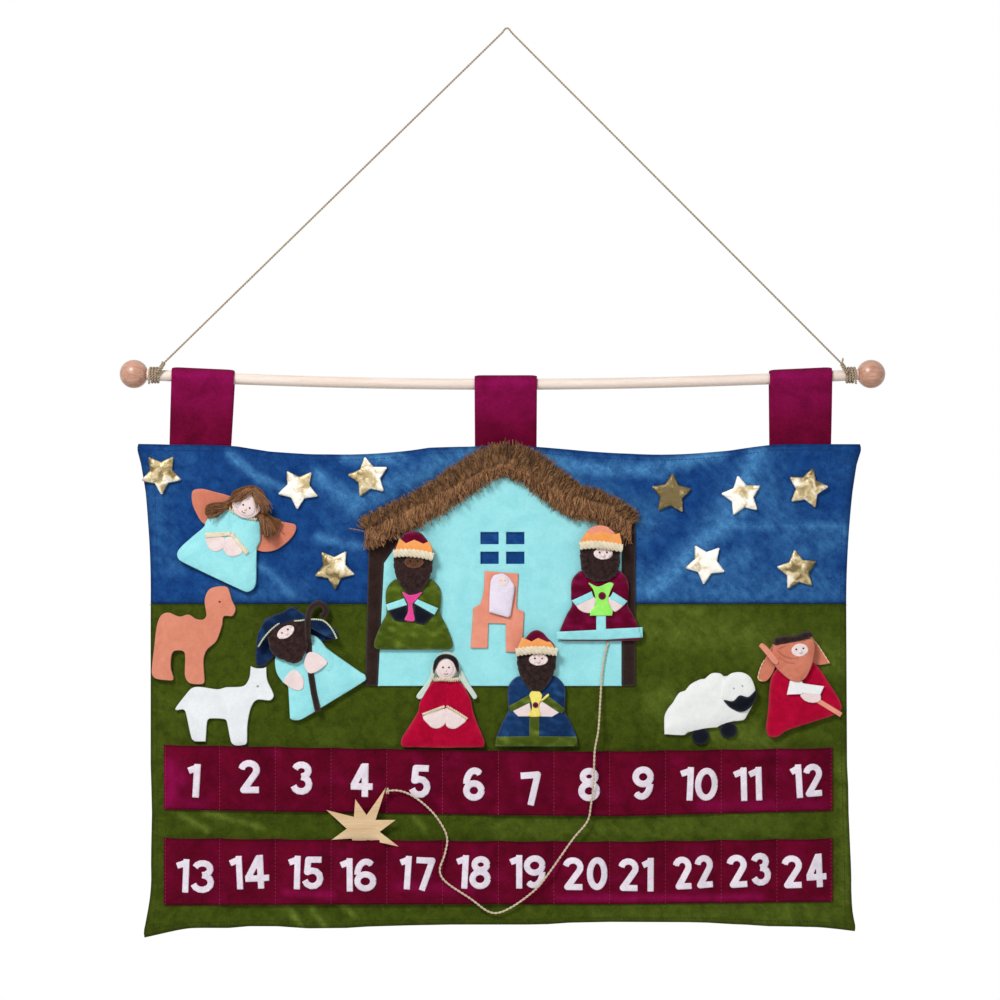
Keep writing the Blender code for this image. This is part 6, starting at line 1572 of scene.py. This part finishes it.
patches("angel_hands", [place([(207.3, 537.5), (223.7, 537), (226, 546), (218.7, 551.3), (213.6, 550.8),
    (208.6, 546.7)]), place([(227.1, 537.5), (233.1, 537.1), (243.4, 550.8), (239.7, 555), (232.1, 556.7),
        (226.2, 553.4), (223.7, 547.2)])],
    skin, "angel", "pale_felt", front, 0.9)
felt("angel_hair_back", [place([
    (229.6, 499), (233.8, 491.4), (244.7, 486.4), (254, 485.6), (262.4, 489.8), (267.4, 499), (268.7, 512.3),
    (274, 517), (281.7, 520.7), (277.5, 530.8), (272.5, 535.8),
    (266.6, 537.5), (261.5, 530.8), (258, 519), (240, 514), (225.4, 509), (218.7, 515.7), (209.4, 517.4),
    (205.7, 513.2), (206.9, 505.7), (213.6, 502.6), (223.7, 501.5),
])], brown_cloth, "angel", "hair_brown", ["angel_hair"], -8.1, 1.2)
angel_face = stuffed("angel_head_piece", place(arc(247.5, 504.5, 14.5, 14, 0, 345, 22)), skin, "angel", "pale_felt",
    ["angel_head"], -9.3, 10, 1.8, 2, (0.1, 5))
face_on("angel", pinned(247, 507.5, 27), (0, 0), skin, "angel", angel_face, 3.6, 1.8, 9.6, 8.4, True)


def hair_strip(ax, az, bx, bz, y, way, across=2.6):
    """A strip on the pattern sheet that strands grow from, lying the way given across and down."""
    a, b = (Vector(p) for p in sheet([(ax, az), (bx, bz)]))
    off = Vector((-(b - a).y, (b - a).x)).normalized() * across
    corners = [(a.x, y, a.y), (b.x, y, b.y), (b.x + off.x, y - 0.4, b.y + off.y), (a.x + off.x, y - 0.4, a.y + off.y)]
    size = math.hypot(way[0], way[1])
    return corners, (way[0] / size, -0.1, -way[1] / size)


fringe("angel_fringe_left", [hair_strip(256, 487, 250, 492, -13.2, (-1.2, 0.75)),
    hair_strip(250, 487, 244, 490, -13, (-1.2, 0.9))], brown_wool, "angel", "hair_brown", 2.8, 18, 0.8, 0.2, 11, 2.4)
fringe("angel_fringe_right", [hair_strip(262, 491, 254, 489, -13, (0.5, 1.2)),
    hair_strip(258, 489, 250, 487, -13.2, (0.75, 1))], brown_wool, "angel", "hair_brown", 2.8, 22, 0.8, 0.2, 12, 2.4)
fringe("angel_bunch_left", [hair_strip(228, 502, 226, 510, -10, (-1.2, 0.45), 2)], brown_wool, "angel", "hair_brown",
    4.5, 19, 0.8, 0.32, 13, 4)
fringe("angel_bunch_right", [hair_strip(270, 516, 260, 514, -10, (0.45, 1.2), 2.4)], brown_wool, "angel", "hair_brown",
    4.5, 22, 0.8, 0.36, 14, 4)
collar = [(a, face_at(front, a, b) - 1.4, b) for a, b in place([(230, 508.4), (238, 513.5), (247, 517), (257, 519.5)])]
finish_twine("angel_collar", collar, 4.4, 6, cream, "angel", "pale_felt")

# The left shepherd: a navy headcloth with pale piping, a woolly beard, a pale blue stuffed gown, and a dark
# brown felt crook held in front.
dark_navy = cloth_look("dark_navy_felt", (20, 44, 84), (6, 18, 42), 0.04, hair=800, lit=(40, 84, 134))
piping_cream = cloth_look("pale_green_cord", (232, 236, 206), (196, 202, 164), 0.05, hair=900, blotch=200, raised=0.6)
body = "shepherd_left"
hook_dot(body, -190, -640, -0.6, -3.6, body, "light_blue_felt")
felt(body + "_headcloth_piece", [place([
    (256.6, 644.1), (256.2, 664.7), (260.5, 666.4), (265.7, 664.7), (276, 656), (300, 650), (322, 641), (327.6, 640.6),
    (336.2, 638.9), (337.5, 632.9), (333.6, 627.7),
    (320.7, 621.5), (305.2, 614.5), (297.5, 609.5), (295.8, 606), (286.3, 611.2), (275.1, 617.2), (264.8, 619.1),
    (264.8, 624), (262, 634),
])], dark_navy, body, "navy_felt", [body + "_headcloth"], -2.1, 1.2)
front = stuffed(body + "_gown_piece", place([
    (276.8, 655.2), (276.4, 670.7), (282.9, 681.9), (288, 686.2), (288.9, 694), (290.2, 718.1, 1), (293.2, 719.8),
    (300.9, 719.4), (315.6, 711.2), (322.5, 706.9), (365.5, 680.2),
    (365.5, 675), (360.3, 671.6), (327.6, 648.4), (320.7, 639.8), (312.1, 634.6), (296, 640),
]), pale_blue, body, "light_blue_felt", [body + "_gown"], -3.6)
patches(body + "_hands", [place([(288, 674), (294, 669.2), (300.1, 672.5), (304.4, 679.3), (303.5, 687.9),
    (298.4, 690.1), (291.5, 687.9), (284.4, 681.9)])], skin, body, "pale_felt", front, 1)
sleeves(body + "_sleeve", [place([(312, 640), (323, 645), (334, 658), (331, 670), (322, 668), (308, 652)])], pale_blue,
    body, "light_blue_felt", front)
crook_spine = [(318.6, 711.4), (314.5, 693), (311.6, 675), (309.9, 652), (308.6, 631), (308.6, 620), (309.8, 611),
    (313.4, 605.4), (319.2, 603), (324.6, 605.4), (326.8, 610.4), (325, 615), (321, 616.4)]
crook_cuts = stroke_outlines([sheet(crook_spine)], 3.1)
felt(body + "_crook_piece", [crook_cuts[:1]], dark_brown, body, "dark_brown_felt", [body + "_crook"],
    lambda at: -8.1 - 6 * ease((29 - 646 - at[:, 1]) / -9) * ease((at[:, 1] + 578) / -12)
    * ease((-186 - at[:, 0]) / 8), 1.4, grid=2.6)
patches(body + "_upper_hand", [place([(308.1, 652.9), (316, 652), (325, 657.8), (328, 662.1), (324.2, 666.4),
    (315.9, 671.9), (309, 672.3), (304.7, 663.8)])], skin, body, "pale_felt", lambda at: np.full(len(at), -9.4), 1)
beard_front = stuffed(body + "_beard", curly(place([
    (268.6, 634), (269.9, 646.6), (274.3, 654.4), (285.4, 660), (293.2, 662.6), (300.1, 661.3), (305.2, 653.5),
    (309.5, 643.2), (310.4, 631.1), (305.2, 620.5), (294.9, 617.5), (283, 619), (273, 625),
]), 1.2), wool, body, "dark_brown_felt", [body + "_head"], -9.8, 9, 2.2, 1.8, (1.5, 2.9), 1.4)
face_on(body, pinned(286.6, 631.6, -32), (0, 0), skin, body, beard_front, 3.4, 2.2, 9.4, 5.6)
felt(body + "_hood", [place([
    (257.6, 648), (257.8, 636), (262, 626), (266, 619.5), (275, 614.5), (284, 611), (292.5, 606.5), (300, 610.5),
    (308, 615.5), (316, 618), (324.5, 619.8), (331, 625),
    (335.6, 631.5), (337.6, 638.4), (330, 637), (321, 633), (313, 628.5), (305, 622.6), (297.5, 620), (289.6, 622),
    (281, 625.6), (273, 631), (266, 638), (261, 645),
])], dark_navy, body, "navy_felt", back=-11, thick=2.4, crown=0.75, reach=6, grid=2.6, wave=(0.8, 6))
for side_name, line in (("left", ((259.4, 646), (263.6, 639), (269.6, 631.6), (275.6, 626), (280.4, 622.6))),
        ("right", ((295, 620.4), (301.5, 620), (307, 619), (313.5, 618.8), (318.5, 619),
            (324.5, 620.4), (330, 625.2), (334.4, 631.4), (337.4, 638)))):
    run = [(a, -13.9, b) for a, b in place(line)]
    finish_twine(f"{body}_piping_{side_name}", run, 1.8, 4.5, piping_cream, body, "pale_felt")

# The right shepherd: a salmon headcloth with a dark band, a salmon felt beard, a crimson stuffed gown with a
# white sleeve, and a salmon felt staff held across the chest.
body = "shepherd_right"
hook_dot(body, 292, -668, -0.6, -3.6, body, "crimson_felt")
felt(body + "_headcloth_piece", [place([
    (765, 658.4), (760.8, 667), (757.4, 678.7), (760, 681), (765.3, 681.3), (769.6, 677.6), (773, 672.4), (779, 662),
    (805, 662), (817.5, 665), (829.6, 663.4, 1), (824.4, 654.6), (816.8, 643.3), (809.5, 635.4),
    (800, 634.4), (788, 638), (776, 640.6), (771, 647),
])], tan, body, "salmon_felt", [body + "_headcloth"], -2.1, 1.2)
pale_tan = plain_felt("pale_hem", (250, 214, 176), (226, 184, 146))
for side_name, line in (("left", ((764, 660), (760.4, 667.5), (757.8, 678), (762, 681))),
        ("right", ((809.5, 636.5), (816.6, 644), (824, 655), (829, 663)))):
    run = [(a, -3.5, b) for a, b in place(line)]
    finish_twine(f"{body}_hem_{side_name}", run, 1.5, 9, pale_tan, body, "pale_felt")
front = stuffed(body + "_gown_piece", place([
    (772, 675.1), (769, 690), (767.9, 707.7), (765.5, 728), (767, 734), (770.4, 737), (777.7, 736.2), (786.7, 730.2),
    (831.5, 715.5), (840.5, 709.6), (839.4, 700.2), (829.6, 684.4), (817, 666), (802, 656), (784, 662),
]), crimson, body, "crimson_felt", [body + "_gown"], -3.6)
staff = stroke_outlines([sheet([(759.8, 644.2), (773.6, 658.8), (816, 699.5), (840.4, 714.4)])], 2.5)
felt(body + "_staff_piece", [staff[:1]], salmon, body, "salmon_felt", [body + "_staff"], -8.1, 1.4, grid=2.6)
patches(body + "_sleeve", [place([(789.1, 680, 1), (801.3, 680.6, 1), (802, 682.6), (823.3, 685.7, 1),
    (819.3, 694.2, 1), (801.6, 692.6), (800.6, 693.6, 1), (785.9, 694.2, 1)])],
    white_felt, body, "white_felt", lambda at: np.full(len(at), -9.5), 1.2)
felt(body + "_staff_tip", [place([
    (758.8, 646.4), (758.8, 643.8), (761.4, 642.8), (765.4, 645.4), (774.4, 655.6), (777.4, 660.8), (775.6, 664),
    (771.4, 662.2), (764.4, 653.4)])], salmon, body, "salmon_felt", back=-12.2, thick=2, grid=2.6)
patches(body + "_hand", [place([(800.1, 693.6), (817.6, 691.8), (819.6, 699.5), (811.9, 702.3), (803.6, 699.9)])],
    skin, body, "pale_felt", lambda at: np.full(len(at), -9.4), 1)
beard_front = stuffed(body + "_beard", place([
    (772.6, 644), (773, 640), (792, 638), (811, 638.5), (813.6, 645), (813.4, 652), (811, 664), (805.4, 676),
    (800.5, 680.2), (794.6, 681.4), (787, 678), (777, 669), (771.4, 660), (771.2, 651),
]), tan, body, "salmon_felt", [body + "_head"], -9.8, 9, 2.2, 1.8, (0.9, 5), 2.2)
tan_shade = plain_felt("shaded_salmon_felt", (206, 130, 104), (178, 104, 80))
for fold, line in enumerate((((776, 650), (783, 655.4), (790, 657.6), (797, 657)),
        ((778, 656.6), (786, 661.6), (793, 662.4)),
        ((771.6, 646.6), (778, 647.6), (784, 645.4))), 1):
    run = [(a, face_at(beard_front, a, b) - 0.1, b) for a, b in place(line)]
    finish_twine(f"{body}_fold_{fold}", run, 1.1, 9, tan_shade, body, "salmon_felt")
face_on(body, pinned(798.6, 649.4, -8), (0, 0), skin, body, beard_front, 3.6, 2.2, 8.4, 6.4)
felt(body + "_band", [place([
    (772.4, 643.6), (772.6, 640), (775, 637), (783.3, 635.3), (795, 634.7), (800, 632.3), (808.3, 630.8),
    (811.4, 633.3), (810.6, 636.4), (805, 638.6), (796.7, 641), (785, 643), (776.7, 644.8),
])], black_wool, body, "dark_brown_felt", back=-11.2, thick=2.6, crown=0.7, reach=4, grid=1.8, wave=(0.8, 3))

# The comet star marker: thin pale plywood with seven uneven rays, its foot tucked into the pocket of the day.
COMET = (
    (0.458, 0), (0.347, 0.325), (0.07, 0.31), (0.28, 0.455), (0, 0.70), (0.38, 0.61), (0.40, 0.845), (0.555, 0.635),
    (0.826, 1), (0.68, 0.57), (0.958, 0.574), (0.736, 0.415), (1, 0.225), (0.56, 0.31),
)
COMET_FOOT, COMET_TIP = (-144.07, -2.5, -833.99), math.radians(5.7)
tip_up, tip_back = math.cos(COMET_TIP), math.sin(COMET_TIP)
lines = [outline_of(sharp(shares(COMET, 72, 77, 0, 0)), 2)]
inset = lines[0] * 0.985 + lines[0].mean(axis=0) * 0.015
count = len(lines[0])
layers = [(lines[0], 1), (lines[0], -0.75), (inset, -1)]
points = [(COMET_FOOT[0] + x, COMET_FOOT[1] - z * tip_back - 3.2 * max(0, x - 15) / 20 + y, COMET_FOOT[2] + z * tip_up)
    for line, y in layers for x, z in line]
faces = [((k + 1) % count + ring * count, k + ring * count, k + (ring + 1) * count,
    (k + 1) % count + (ring + 1) * count) for ring in (0, 1) for k in range(count)]
rim = [(k, (k + 1) % count) for k in range(count)]
triangles = geometry.delaunay_2d_cdt([Vector(p) for p in lines[0]], rim, [], 0, 1e-4, False)[2]
kept = [t for t in triangles if depth_inside(lines[0][list(t)].mean(axis=0)[None], lines)[0] > 0]
for t in kept:
    a, b, c = (lines[0][k] for k in t)
    t = tuple(t) if (b - a)[0] * (c - a)[1] - (b - a)[1] * (c - a)[0] > 0 else tuple(reversed(t))
    faces += [tuple(k + 2 * count for k in t), tuple(reversed(t))]
finish("comet_star_marker", points, faces, wood_look("comet_plywood", (236, 206, 164), (208, 172, 126), 240, 0.6, 0),
    "comet", "comet_wood", ["comet_star"], crease=30)
